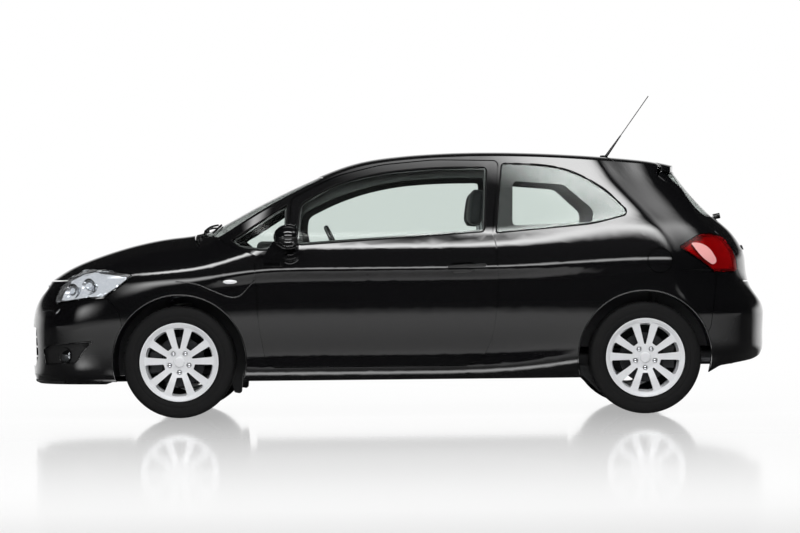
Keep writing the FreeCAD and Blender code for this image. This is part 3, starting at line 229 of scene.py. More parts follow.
def outwards():
    """Merges doubles and turns every face outwards."""
    bpy.ops.object.mode_set(mode="EDIT")
    bpy.ops.mesh.select_all(action="SELECT")
    bpy.ops.mesh.remove_doubles(threshold=0.00005)
    bpy.ops.mesh.normals_make_consistent(inside=False)
    bpy.ops.object.mode_set(mode="OBJECT")


def turned(profile, segments=64, closed=True):
    """A form turned about Z by extruding and scaling a ring along a profile of (height, radius) points."""
    deselect()
    height, radius = profile[0]
    bpy.ops.mesh.primitive_circle_add(vertices=segments, radius=radius, location=(0, 0, height))
    bpy.ops.object.transform_apply(location=True, rotation=False, scale=False)
    bpy.ops.object.mode_set(mode="EDIT")
    bpy.ops.mesh.select_all(action="SELECT")
    ring = profile[1:] + (profile[:1] if closed else [])
    for next_height, next_radius in ring:
        bpy.ops.mesh.extrude_region_move(TRANSFORM_OT_translate={"value": (0, 0, next_height - height)})
        bpy.ops.transform.resize(value=(next_radius / radius, next_radius / radius, 1),
                                 center_override=(0, 0, next_height))
        height, radius = next_height, next_radius
    outwards()
    return bpy.context.object


def place(turn, at):
    """Turns the active object about the origin and moves it."""
    item = bpy.context.object
    item.data.transform(Matrix.Translation(Vector(at)) @ turn.to_4x4())
    item.data.update()


def facing(direction):
    """The turn that takes +Z to direction."""
    return Vector(direction).to_track_quat("Z", "Y").to_matrix()


def mirrored_copy(item, name, body, replaced=()):
    """The piece on the other side of the car."""
    deselect()
    twin = item.copy()
    twin.data = item.data.copy()
    twin.parent = None
    bpy.context.scene.collection.objects.link(twin)
    bpy.context.view_layer.objects.active = twin
    twin.select_set(True)
    twin.matrix_world = Matrix.Identity(4)
    twin.data.transform(Matrix.Scale(-1, 4, (0, 1, 0)))
    twin.data.flip_normals()
    twin.name = name
    twin.data.name = name
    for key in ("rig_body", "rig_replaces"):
        if key in twin:
            del twin[key]
    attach(twin, body)
    if replaced:
        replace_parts(twin, *replaced)


def join(items):
    """Makes one object of several and leaves it active."""
    deselect()
    for item in items:
        item.select_set(True)
    bpy.context.view_layer.objects.active = items[0]
    bpy.ops.object.join()


def modify(item, kind, **settings):
    """Adds a modifier and applies it."""
    deselect()
    item.select_set(True)
    bpy.context.view_layer.objects.active = item
    modifier = item.modifiers.new(kind.lower(), kind)
    for name, value in settings.items():
        setattr(modifier, name, value)
    bpy.ops.object.modifier_apply(modifier=modifier.name)


def block(low, high, bevel, segments=2):
    """A box between two corners, with its edges rounded."""
    deselect()
    middle = [(a + b) / 2 for a, b in zip(low, high)]
    bpy.ops.mesh.primitive_cube_add(size=1, location=middle)
    item = bpy.context.object
    item.scale = [abs(b - a) for a, b in zip(low, high)]
    bpy.ops.object.transform_apply(location=True, rotation=True, scale=True)
    modify(item, "BEVEL", width=bevel, segments=segments)


def tube(points, radius, closed=False):
    """A round bead along points, as a mesh."""
    deselect()
    curve = bpy.data.curves.new("bead", "CURVE")
    curve.dimensions = "3D"
    curve.bevel_depth = radius
    curve.bevel_resolution = 3
    curve.use_fill_caps = True
    line = curve.splines.new("POLY")
    line.points.add(len(points) - 1)
    for point, at in zip(line.points, points):
        point.co = (*at, 1)
    line.use_cyclic_u = closed
    item = bpy.data.objects.new("bead", curve)
    bpy.context.scene.collection.objects.link(item)
    bpy.context.view_layer.objects.active = item
    item.select_set(True)
    bpy.ops.object.convert(target="MESH")


# Nodes that the car's left side is made of
SKIN = ["door_left", "front_wings", "side_panels", "front_bumper", "rear_bumper", "bonnet", "tailgate",
        "headlamps", "tail_lamps", "door_glass_left", "side_glass", "fuel_flap", "cowl", "roof_panel", "windscreen"]


def on_skin(x, z, names=SKIN):
    """Where a line along Y first meets the car's left side, in metres, and the skin's outward direction there."""
    best = None
    for name in names:
        hit, at, normal, _ = nodes[name].ray_cast(Vector((x, -3, z)), Vector((0, 1, 0)))
        if hit and (best is None or at.y < best[0].y):
            best = (at.copy(), normal.copy())
    return best


# Tyres: the tread is cut into ribs and blocks, and the walls carry a bead, a raised band and a shoulder.
TYRE_STEPS = 160
OUTER_GROOVE_Z = 0.062
SHOULDER_Z = 0.090
TREAD_RADIUS = 0.307
SIPE_SHARE = 0.985
NUTS = 5
FIRST_NUT_DEGREES = 126
NUT_CIRCLE_RADIUS = 0.1143 / 2
RIM_FACE_Y = -HALF_TRACK - 0.039


def tyre():
    """A tyre about the Z axis, from a profile of (width, radius) points, left active."""
    profile = [
        (-0.0855, 0.206), (-0.0865, 0.223), (-0.0955, 0.227), (-0.1000, 0.236), (-0.1005, 0.240), (-0.1020, 0.246),
        (-0.1020, 0.250), (-0.1005, 0.254), (-0.1022, 0.262), (-0.1022, 0.276), (-0.1008, 0.280), (-0.1000, 0.288),
        (-0.0960, 0.299), (-0.0890, 0.3065), (-0.0800, 0.3105), (-0.0620, 0.3128), (-0.0615, 0.3060),
        (-0.0535, 0.3060), (-0.0530, 0.3136), (-0.0250, 0.3140), (-0.0245, 0.3068), (-0.0165, 0.3068),
        (-0.0160, 0.3140),
    ]
    profile += [(-a, r) for a, r in reversed(profile)]
    item = turned(profile, TYRE_STEPS)
    # Shoulder blocks: one face in three between the outer groove and the shoulder is sunk into a sipe.
    bpy.ops.object.mode_set(mode="EDIT")
    mesh = bmesh.from_edit_mesh(item.data)
    for face in mesh.faces:
        middle = face.calc_center_median()
        radius = math.hypot(middle.x, middle.y)
        turn = int(round(math.degrees(math.atan2(middle.y, middle.x)) * TYRE_STEPS / 360))
        face.select = OUTER_GROOVE_Z < abs(middle.z) < SHOULDER_Z and radius > TREAD_RADIUS and turn % 3 == 0
    bmesh.update_edit_mesh(item.data)
    bpy.ops.mesh.extrude_region_move(TRANSFORM_OT_translate={"value": (0, 0, 0)})
    bpy.ops.transform.resize(value=(SIPE_SHARE, SIPE_SHARE, 1), center_override=(0, 0, 0))
    bpy.ops.mesh.select_all(action="SELECT")
    bpy.ops.mesh.normals_make_consistent(inside=False)
    bpy.ops.object.mode_set(mode="OBJECT")


def wheel_nut(at):
    """A hexagonal nut that faces outwards on the left."""
    item = turned([(0.0, 0.0105), (0.012, 0.0105), (0.0165, 0.0085), (0.018, 0.004), (0.018, 0.0004)], 6, closed=False)
    place(facing((0, -1, 0)), at)
    return item


def wheels():
    """Each wheel's tyre, hub cap and nuts."""
    cap_profile = [(0.0, 0.0300), (0.004, 0.0295), (0.006, 0.0275), (0.0068, 0.020), (0.0072, 0.0004)]
    for end, axle_x in (("front", FRONT_AXLE_X), ("rear", REAR_AXLE_X)):
        tyre()
        place(facing((0, -1, 0)), (axle_x, -HALF_TRACK, AXLE_Z))
        left = settle(f"tyre_{end}_left_tread", RUBBER, f"wheel_{end}_left", (f"tyre_{end}_left",), 30)
        mirrored_copy(left, f"tyre_{end}_right_tread", f"wheel_{end}_right", (f"tyre_{end}_right",))
        nuts = []
        for i in range(NUTS):
            turn = math.radians(FIRST_NUT_DEGREES + 360 / NUTS * i)
            nuts.append(wheel_nut((axle_x + NUT_CIRCLE_RADIUS * math.cos(turn), RIM_FACE_Y - 0.010,
                                   AXLE_Z + NUT_CIRCLE_RADIUS * math.sin(turn))))
        turned(cap_profile, 40, closed=False)
        place(facing((0, -1, 0)), (axle_x, RIM_FACE_Y - 0.033, AXLE_Z))
        left = settle(f"hub_cap_{end}_left", ALLOY, f"wheel_{end}_left")
        mirrored_copy(left, f"hub_cap_{end}_right", f"wheel_{end}_right")
        join(nuts)
        left = settle(f"wheel_nuts_{end}_left", CHROME, f"wheel_{end}_left")
        mirrored_copy(left, f"wheel_nuts_{end}_right", f"wheel_{end}_right")


wheels()


# Lines laid on the skin
def cornered(corners, step=0.03, closed=True):
    """Points along straight stretches and rounded corners, given as (x, z, radius) in millimetres.

    Straight stretches get a point about every step metres, and the ends of an open line need no radius.
    """
    result = []
    count = len(corners)
    for i, corner in enumerate(corners):
        here = Vector(corner[:2])
        if not closed and i in (0, count - 1):
            result.append(here)
            continue
        before = Vector(corners[i - 1][:2])
        after = Vector(corners[(i + 1) % count][:2])
        radius = corner[2]
        reach_in = min(radius, 0.48 * (before - here).length)
        reach_out = min(radius, 0.48 * (after - here).length)
        first = here + (before - here).normalized() * reach_in
        last = here + (after - here).normalized() * reach_out
        for k in range(7):
            t = k / 6
            result.append(first * (1 - t) ** 2 + here * 2 * t * (1 - t) + last * t * t)
    filled = []
    ends = result[1:] + result[:1] if closed else result[1:]
    for a, b in zip(result, ends):
        steps = max(1, round((b - a).length / 1000 / step))
        filled += [a.lerp(b, k / steps) for k in range(steps)]
    if not closed:
        filled.append(result[-1])
    return filled


def laid(points, proud, names=SKIN):
    """Side-view points in millimetres laid on the left skin, proud of it by so many metres."""
    result = []
    for x, z in points:
        found = on_skin(x / 1000, z / 1000, names)
        if found:
            result.append(found[0] + found[1] * proud)
    return result


def bead(name, points, radius, material, body, proud=0.0, closed=False, names=SKIN):
    """A bead along a line on the left skin, and its mirror image."""
    tube(laid(points, proud, names), radius, closed)
    item = settle(f"{name}_left", material, body)
    mirrored_copy(item, f"{name}_right", body.replace("left", "right"))


def patch(name, corners, material, body, proud, names):
    """A thin sheet laid on the left skin within rounded corners given in millimetres, and its mirror image."""
    line = cornered(corners, 0.012)
    middle = sum(line, Vector((0, 0))) / len(line)
    rings = [laid([middle.lerp(point, share) for point in line], proud, names)
             for share in (1, 0.75, 0.5, 0.25, 0.02)]
    mesh = bmesh.new()
    made = [[mesh.verts.new(at) for at in ring] for ring in rings]
    for outer, inner in zip(made, made[1:]):
        for k in range(len(outer)):
            mesh.faces.new((outer[k], outer[k - 1], inner[k - 1], inner[k]))
    mesh.faces.new(made[-1])
    deselect()
    item = bpy.data.objects.new(name, bpy.data.meshes.new(name))
    mesh.to_mesh(item.data)
    mesh.free()
    bpy.context.scene.collection.objects.link(item)
    bpy.context.view_layer.objects.active = item
    item.select_set(True)
    modify(item, "SOLIDIFY", thickness=0.0012, offset=1)
    outwards()
    item = settle(f"{name}_left", material, body)
    mirrored_copy(item, f"{name}_right", body.replace("left", "right"))


# Outlines on the car's left side: x, z and the corner's radius in millimetres
DOOR_PANE = [(-568, 958, 30), (-548, 1189, 40), (-343, 1308, 300), (-89, 1367, 300), (210, 1392, 300),
             (508, 1391, 24), (488, 1024, 24)]
QUARTER_PANE = [(590, 1413, 22), (844, 1402, 200), (1000, 1362, 200), (1172, 1262, 100), (1288, 1140, 22),
                (1281, 1110, 22), (1093, 1062, 200), (550, 1016, 22)]
FRONT_PANE = [(-936, 988, 14), (-880, 947, 30), (-763, 930, 60), (-624, 948, 30), (-616, 1193, 18)]
SCULPT_LINE = [(-800, 766), (-842, 720, 30), (-879, 680, 40), (-930, 668, 60), (-1023, 704, 80),
               (-1126, 753, 80), (-1240, 764)]
BUMPER_STEP = [(-2010, 600), (-1962, 612, 20), (-1936, 604, 10), (-1926, 588, 10), (-1912, 604, 10), (-1900, 616)]
FOG_FRAME = [(-2008, 388, 12), (-1965, 412, 40), (-1709, 433, 12), (-1763, 382, 60), (-1807, 312, 20),
             (-1992, 302, 14)]
# The fog recess sheet lies flush on the bumper. Its dark grained finish is the surround's black plastic, with the
# sunken recess's shade painted into it.
FOG_RECESS_SHADE = [(x * 0.97 - 56, z * 0.93 + 26, r) for x, z, r in FOG_FRAME]
# Painted shade: the handle sheet is a matte dark sheet over the door handle that stands in for the shade in the
# handle's recess.
HANDLE_SHADE_SHEET = [(277, 826, 7), (277, 840, 7), (492, 848, 9), (492, 830, 9)]
CLEAR_PART = [(1640, 950, 10), (1690, 952, 50), (1748, 922, 60), (1790, 846, 30), (1762, 826, 14), (1700, 868, 60)]


def arch_line(axle_x):
    """Side-view points along a wheel arch, in millimetres."""
    turns = [math.radians(-14 + 208 * k / 48) for k in range(49)]
    return [(axle_x * 1000 + ARCH_RADIUS_MM * math.cos(t), AXLE_Z * 1000 + ARCH_RADIUS_MM * math.sin(t))
            for t in turns]


def skin_lines():
    """Window seals, sculpted lines, arch lips, the small parts that lie flush in the skin, and flat dark sheets of
    painted shade in the fog recess and over the door handle.
    """
    bead("door_window_seal", cornered(DOOR_PANE), 0.0055, RUBBER, "door_left", 0.001, True,
         ["door_glass_left", "door_left"])
    bead("quarter_window_seal", cornered(QUARTER_PANE), 0.0055, RUBBER, "body", 0.001, True,
         ["side_glass", "side_panels"])
    bead("front_light_seal", cornered(FRONT_PANE), 0.005, RUBBER, "body", 0.001, True, ["side_glass", "side_panels"])
    bead("wing_crease", cornered(SCULPT_LINE, closed=False), 0.004, PAINT, "body", -0.0015)
    bead("bumper_step", cornered(BUMPER_STEP, 0.01, closed=False), 0.004, CHROME, "body", -0.001)
    bead("fog_recess_frame", cornered(FOG_FRAME), 0.005, PAINT, "body", 0.0, True, ["front_bumper"])
    # Partly painted shade: a flat dark sheet stands in for the sunken fog recess and the shade inside it.
    patch("fog_recess", FOG_RECESS_SHADE, GRAINED, "body", 0.0002, ["front_bumper"])
    # Painted shade over the door handle, which breaks the crease's highlight there.
    patch("handle_inlay", HANDLE_SHADE_SHEET, GRAINED, "door_left", 0.0004, ["door_left"])
    patch("reversing_lens", CLEAR_PART, PINK_LENS, "body", 0.0002, ["tail_lamps"])
    bead("front_arch_lip", arch_line(FRONT_AXLE_X), 0.0045, PAINT, "body", -0.001)
    bead("rear_arch_lip", arch_line(REAR_AXLE_X), 0.0045, PAINT, "body", -0.001)


skin_lines()


def bumper_seals():
    """Black rubber behind the shut gap between the rear bumper and the side panels."""
    line = laid([(x, 786) for x in range(1560, 1781, 20)], -0.024, ["rear_bumper", "side_panels"])
    tube([at + Vector((0, 0, 0.018)) for at in line], 0.016)
    item = settle("bumper_seal_left", RUBBER, "body")
    mirrored_copy(item, "bumper_seal_right", "body")


bumper_seals()


# Trim behind the door glass, which frames what is seen through it
TRIM_DEPTH = 0.046
SEEN_DOOR = [(-526, 976, 30), (-546, 1074, 30), (-533, 1154, 30), (-367, 1236, 100), (-183, 1298, 150),
             (20, 1336, 150), (257, 1350, 150), (486, 1350, 16), (482, 1036, 20)]
TRIM_FRAME = [(-590, 946, 30), (-572, 1194, 40), (-350, 1330, 200), (-89, 1389, 300), (210, 1412, 300),
              (530, 1410, 24), (510, 1010, 24)]


def evenly(points, count):
    """The closed line's points again, evenly spaced from its first one on."""
    lengths = [(b - a).length for a, b in zip(points, points[1:] + points[:1])]
    whole = sum(lengths)
    result = []
    for k in range(count):
        left_over = whole * k / count
        i = 0
        while left_over > lengths[i]:
            left_over -= lengths[i]
            i += 1
        result.append(points[i].lerp(points[(i + 1) % len(points)], left_over / lengths[i]))
    return result


def window_trim():
    """A flat frame inside the door glass, between its outer outline and the opening seen through the glass."""
    count = 120
    rings = [laid(evenly(cornered(line), count), -TRIM_DEPTH) for line in (TRIM_FRAME, SEEN_DOOR)]
    deselect()
    bpy.ops.mesh.primitive_circle_add(vertices=count, radius=1)
    item = bpy.context.object
    for vertex, at in zip(item.data.vertices, rings[0]):
        vertex.co = at
    bpy.ops.object.mode_set(mode="EDIT")
    bpy.ops.mesh.select_all(action="SELECT")
    bpy.ops.mesh.extrude_region_move(TRANSFORM_OT_translate={"value": (0, 0, 0)})
    bpy.ops.object.mode_set(mode="OBJECT")
    for vertex, at in zip(item.data.vertices[count:], rings[1]):
        vertex.co = at
    modify(item, "SOLIDIFY", thickness=0.012, offset=0)
    item = settle("door_window_trim_left", GRAINED, "door_left")
    mirrored_copy(item, "door_window_trim_right", "door_right")


window_trim()


# Lamps
HEADLAMP_WAY = (-0.55, -0.83, 0.1)
FOG_LAMP_WAY = (-0.62, -0.785, 0)


def round_piece(name, profile, at, direction, material, mirror=True):
    """A turned piece set at a place on the left, facing a direction, and its mirror image."""
    turned(profile, 40, closed=False)
    place(facing(direction), at)
    item = settle(f"{name}_left", material, "body")
    if mirror:
        mirrored_copy(item, f"{name}_right", "body")


def inside_copy(node, name, share, shift, material):
    """A smaller copy of both of a node's lamps, each shrunk about its own middle, as the bowl within it."""
    deselect()
    source = nodes[node]
    item = source.copy()
    item.data = source.data.copy()
    item.parent = None
    item.modifiers.clear()
    bpy.context.scene.collection.objects.link(item)
    item.matrix_world = Matrix.Identity(4)
    for key in list(item.keys()):
        del item[key]
    bpy.context.view_layer.objects.active = item
    item.select_set(True)
    outwards()
    low = [min(v.co[k] for v in item.data.vertices if v.co.y < 0) for k in range(3)]
    high = [max(v.co[k] for v in item.data.vertices if v.co.y < 0) for k in range(3)]
    middle = Vector([(a + b) / 2 for a, b in zip(low, high)]) + Vector(shift)
    for vertex in item.data.vertices:
        side = -1 if vertex.co.y < 0 else 1
        about = Vector((middle.x, -middle.y * side, middle.z))
        vertex.co = about + (vertex.co - about) * share
    settle(name, material, "body")


def lamps():
    """Reflectors inside the lamps, and the round lamps and repeaters on the skin."""
    inside_copy("headlamps", "headlamp_reflectors", 0.86, (0.02, 0.02, 0.0), CHROME)
    inside_copy("tail_lamps", "tail_lamp_reflectors", 0.84, (-0.01, 0.01, 0.0), BARE_STEEL)
    bowl = [(0.0, 0.036), (0.010, 0.042), (0.014, 0.045), (0.010, 0.038), (-0.006, 0.020), (-0.008, 0.0004)]
    eye = [(0.0, 0.030), (0.012, 0.027), (0.022, 0.018), (0.026, 0.0004)]
    for name, x, z in (("main", -1.835, 0.722), ("dip", -1.735, 0.748)):
        at, normal = on_skin(x, z, ["headlamps"])
        round_piece(f"headlamp_{name}_bowl", bowl, at - normal * 0.022, HEADLAMP_WAY, CHROME)
        round_piece(f"headlamp_{name}_eye", eye, at - normal * 0.034, HEADLAMP_WAY, CLEAR_LENS)
    at, _ = on_skin(-1.873, 0.356, ["front_bumper"])
    ring = [(-0.004, 0.047), (0.003, 0.047), (0.004, 0.043), (-0.002, 0.039), (-0.004, 0.039)]
    lens = [(-0.003, 0.040), (0.001, 0.036), (0.003, 0.020), (0.0035, 0.0004)]
    round_piece("fog_lamp_ring", ring, at, FOG_LAMP_WAY, GLOSS)
    round_piece("fog_lamp_lens", lens, at, FOG_LAMP_WAY, MIRROR)
    at, normal = on_skin(-0.936, 0.759)
    round_piece("side_repeater", [(-0.002, 0.040), (0.003, 0.038), (0.006, 0.026), (0.007, 0.0004)], at, normal,
                WHITE_LENS)
    # The repeaters are oval, so the turned pieces are pressed flat.
    for name in ("side_repeater_left", "side_repeater_right"):
        for vertex in bpy.data.objects[name].data.vertices:
            vertex.co.z = at.z + (vertex.co.z - at.z) * 0.3


lamps()


# Door mirrors
def mirrors():
    """The glass in each door mirror: a round one, narrowed."""
    turned([(0.0, 0.070), (0.002, 0.071), (0.004, 0.069), (0.0045, 0.0004)], 48, closed=False)
    item = bpy.context.object
    item.data.transform(Matrix.Diagonal((0.70, 1.0, 1.0, 1.0)))
    place(facing((1, 0.0, 0)), (-0.568, -0.908, 1.006))
    item = settle("mirror_glass_left", MIRROR, "door_left")
    mirrored_copy(item, "mirror_glass_right", "door_right")


mirrors()


# Wipers and the cowl
def dropped(x, y, names):
    """Where a line straight down first meets one of the nodes, and the outward direction there."""
    best = None
    for name in names:
        hit, at, normal, _ = nodes[name].ray_cast(Vector((x, y, 3)), Vector((0, 0, -1)))
        if hit and (best is None or at.z > best[0].z):
            best = (at.copy(), normal.copy())
    return best


WIPER_PIVOT_X = -1.115
BLADE_X = -1.045


def wipers():
    """Two wipers at rest on the windscreen, each with its pivot, arm and blade."""
    glass = ["windscreen", "cowl", "side_panels", "bonnet"]
    for name, pivot_y, tip_y in (("driver", -0.50, 0.06), ("passenger", 0.10, 0.56)):
        arm = []
        for k in range(13):
            share = k / 12
            y = pivot_y + (tip_y - pivot_y) * 0.62 * share
            found = dropped(WIPER_PIVOT_X + 0.085 * share, y, glass)
            arm.append(found[0] + found[1] * (0.018 + 0.014 * math.sin(math.pi * share)))
        tube(arm, 0.0055)
        settle(f"wiper_arm_{name}", GLOSS, "body")
        blade = []
        for k in range(17):
            y = pivot_y + 0.05 + (tip_y - pivot_y) * k / 16
            found = dropped(BLADE_X + 0.03 * math.sin(math.pi * k / 16), y, glass)
            blade.append(found[0] + found[1] * 0.009)
        tube(blade, 0.006)
        settle(f"wiper_blade_{name}", RUBBER, "body")
        found = dropped(WIPER_PIVOT_X, pivot_y, glass)
        turned([(-0.01, 0.016), (0.016, 0.015), (0.022, 0.010), (0.023, 0.0004)], 24, closed=False)
        place(facing(found[1]), found[0])
        settle(f"wiper_pivot_{name}", GLOSS, "body")


wipers()


# Front grille mesh, lower lip and what stands behind them
MESH_PITCH = 0.016
TRAY_FRONT_X = -2.035
TRAY_BACK_X = -1.36
TRAY_Z = 0.198


def round_the_nose(z, turns, proud):
    """Points round the front bumper at a height, found by lines towards a point inside the bonnet."""
    middle = Vector((-1.50, 0, z))
    result = []
    for turn in turns:
        out = Vector((-math.cos(turn), math.sin(turn), 0))
        hit, at, _, _ = nodes["front_bumper"].ray_cast(middle + out * 2, -out)
        if hit:
            result.append(at + out * proud)
    return result


def grid(across, up, at_share):
    """A flat grid of quads, with each point put where at_share says for its two shares between 0 and 1."""
    deselect()
    bpy.ops.mesh.primitive_grid_add(x_subdivisions=across, y_subdivisions=up, size=1)
    item = bpy.context.object
    for vertex in item.data.vertices:
        vertex.co = at_share(vertex.co.x + 0.5, vertex.co.y + 0.5)
    return item


def tray_at(back, across):
    """A point of the engine tray, which is bowed in front and narrower at the back."""
    y = 2 * (across - 0.5) * (0.58 - 0.20 * back)
    return (TRAY_FRONT_X + 0.30 * y * y) * (1 - back) + TRAY_BACK_X * back, y, TRAY_Z


def front_details():
    """The lip under the front bumper, the grille and intake mesh, the radiator and the engine tray."""
    turns = [math.radians(-62 + 124 * k / 40) for k in range(41)]
    for name, z, radius, material in (("chin_lip", 0.207, 0.010, GRAINED), ("chin_edge", 0.242, 0.004, PAINT)):
        tube(round_the_nose(z, turns, -radius * 0.35), radius)
        settle(name, material, "body")
    for name, low, high, x in (("upper_grille_mesh", (-0.42, 0.690), (0.42, 0.748), -2.025),
                               ("lower_intake_mesh", (-0.51, 0.295), (0.51, 0.505), -2.020)):
        width, height = high[0] - low[0], high[1] - low[1]

        def mesh_at(share_y, share_z):
            """A point of the mesh, which is bowed like the nose."""
            y = low[0] + share_y * width
            return x + 0.28 * y * y, y, low[1] + share_z * height

        modify(grid(round(width / MESH_PITCH), round(height / MESH_PITCH), mesh_at), "WIREFRAME", thickness=0.003)
        settle(name, GRAINED, "body", smooth=0)
    block((-1.83, -0.34, 0.26), (-1.80, 0.34, 0.70), 0.004)
    settle("radiator", STEEL, "body")
    # The tray under the engine bay runs from the bumper's lip back to the subframe.
    modify(grid(24, 24, tray_at), "SOLIDIFY", thickness=0.004, offset=0)
    settle("engine_tray", GRAINED, "body")


front_details()


# Springs round the front struts
SPRING_LOW = Vector((-1.225, -0.633, 0.520))
SPRING_HIGH = Vector((-1.225, -0.578, 0.770))
COIL_RADIUS = 0.058
COIL_STEPS = 24
COILS = 5.5


def springs():
    """A coil round each front strut."""
    line = SPRING_HIGH - SPRING_LOW
    turn = facing(line.normalized())
    count = round(COILS * COIL_STEPS)
    coil = []
    for k in range(count + 1):
        angle = 2 * math.pi * k / COIL_STEPS
        round_it = turn @ Vector((COIL_RADIUS * math.cos(angle), COIL_RADIUS * math.sin(angle), 0))
        coil.append(SPRING_LOW + line * (k / count) + round_it)
    tube(coil, 0.0062)
    item = settle("front_spring_left", BARE_STEEL, "knuckle_left")
    mirrored_copy(item, "front_spring_right", "knuckle_right")


springs()


# Seats: each panel is a crowned pad between two raised bolsters, and leans so many degrees
SEAT_Y = 0.37
CUSHION_LEAN = -4
BACK_LEAN = -75


def pad(name, size_x, size_y, size_z, lean, at):
    """A stuffed pad about its middle: crowned on its broad faces and drawn in between its corners."""
    deselect()
    bpy.ops.mesh.primitive_cube_add(size=1)
    item = bpy.context.object
    bpy.ops.object.mode_set(mode="EDIT")
    bpy.ops.mesh.select_all(action="SELECT")
    bpy.ops.mesh.subdivide(number_cuts=9)
    bpy.ops.object.mode_set(mode="OBJECT")
    turn = Matrix.Rotation(math.radians(lean), 3, "Y")
    for vertex in item.data.vertices:
        u, v, w = vertex.co * 2
        crown = (1 - u ** 4) * (1 - v ** 4)
        edge = 1 - 0.30 * max(abs(u), abs(v)) ** 8
        seam = 1 - 0.05 * math.exp(-((abs(v) - 0.5) / 0.05) ** 2)
        x = u * size_x / 2 * (1 - 0.05 * v * v * abs(w))
        y = v * size_y / 2 * (1 - 0.05 * u * u * abs(w))
        z = w * size_z / 2 * (0.72 * edge + 0.28 * crown) * seam
        vertex.co = turn @ Vector((x, y, z)) + Vector(at)
    modify(item, "SUBSURF", levels=1, render_levels=1)
    item = settle(name, CLOTH, "body", smooth=60)
    return item


def seats():
    """Two front seats with their bolsters, head restraints and rails, and the rear bench."""
    for side, y in (("left", -SEAT_Y), ("right", SEAT_Y)):
        cushion = pad(f"seat_cushion_{side}", 0.46, 0.30, 0.13, CUSHION_LEAN, (0.16, y, 0.410))
        pad(f"seat_back_{side}", 0.56, 0.28, 0.12, BACK_LEAN, (0.445, y, 0.745))
        pad(f"head_restraint_{side}", 0.20, 0.25, 0.10, -82, (0.450, y, 1.168))
        for number, way in enumerate((-1, 1), 1):
            pad(f"cushion_bolster_{side}_{number}", 0.46, 0.10, 0.17, CUSHION_LEAN,
                (0.16, y + way * 0.195, 0.415))
            pad(f"back_bolster_{side}_{number}", 0.54, 0.09, 0.15, BACK_LEAN,
                (0.430, y + way * 0.180, 0.735))
            tube([(0.478, y + way * 0.06, 1.00), (0.470, y + way * 0.06, 1.12)], 0.006)
            settle(f"restraint_post_{side}_{number}", CHROME, "body")
        block((-0.03, y - 0.18, 0.266), (0.38, y + 0.18, 0.350), 0.01)
        settle(f"seat_rails_{side}", GRAINED, "body")
        if side == "right":
            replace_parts(cushion, "front_seats")
    bench = pad("rear_bench_cushion", 0.46, 1.10, 0.16, -3, (1.095, 0, 0.475))
    pad("rear_bench_back", 0.56, 1.10, 0.13, -79, (1.385, 0, 0.745))
    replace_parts(bench, "rear_seat")


seats()


# Dashboard and steering wheel
WHEEL_CENTRE = (-0.335, -0.370, 0.905)
COLUMN_TILT = 65
COLUMN_WAY = (0.906, 0, 0.423)


def dashboard_details():
    """The instrument hood, the console, the gear lever, two vents and the steering wheel's pad."""
    for name, low, high, bevel, segments, material in (
            ("instrument_hood", (-0.80, -0.53, 0.905), (-0.60, -0.21, 0.985), 0.03, 4, GRAINED),
            ("centre_stack", (-0.665, -0.10, 0.62), (-0.600, 0.12, 0.90), 0.02, 3, GLOSS),
            ("centre_console", (-0.62, -0.09, 0.345), (-0.05, 0.09, 0.50), 0.03, 3, GRAINED)):
        block(low, high, bevel, segments)
        settle(name, material, "body")
    tube([(-0.33, 0, 0.48), (-0.34, 0, 0.60)], 0.007)
    settle("gear_lever", CHROME, "body")
    round_piece("gear_knob", [(0.0, 0.012), (0.015, 0.022), (0.035, 0.026), (0.05, 0.018), (0.055, 0.0004)],
                (-0.34, 0, 0.595), (0, 0, 1), GLOSS, mirror=False)
    ring = [(0.0, 0.045), (0.008, 0.046), (0.010, 0.042), (0.004, 0.038), (-0.004, 0.036), (-0.006, 0.0004)]
    for number, y in enumerate((-0.62, 0.62), 1):
        round_piece(f"side_vent_{number}", ring, (-0.632, y, 0.845), (1, 0, 0.3), GLOSS, mirror=False)
    deselect()
    bpy.ops.mesh.primitive_uv_sphere_add(segments=40, ring_count=20, radius=1)
    item = bpy.context.object
    item.data.transform(Matrix.Diagonal((0.072, 0.085, 0.026, 1.0)))
    tilt = Matrix.Rotation(math.radians(COLUMN_TILT), 3, "Y")
    place(tilt, Vector(WHEEL_CENTRE) + Vector(COLUMN_WAY) * 0.006)
    settle("steering_wheel_pad", GRAINED, "steering_wheel")


dashboard_details()


# Studio: a polished white floor that runs into a white backdrop, a dark room in reflections and soft lamps
WHITE = (1, 1, 1, 1)
FLOOR_WHITE = 0.42
FLOOR_POLISH = 0.95
ROOM_GLOW = 0.006
AMBIENT = 0.8


def ramp(tree, value, start, end, first, last):
    """A socket that goes from first to last while value goes from start to end."""
    settings = {"From Min": start, "From Max": end, "To Min": first, "To Max": last}
    return add_node(tree, "ShaderNodeMapRange", settings, Value=value).outputs[0]


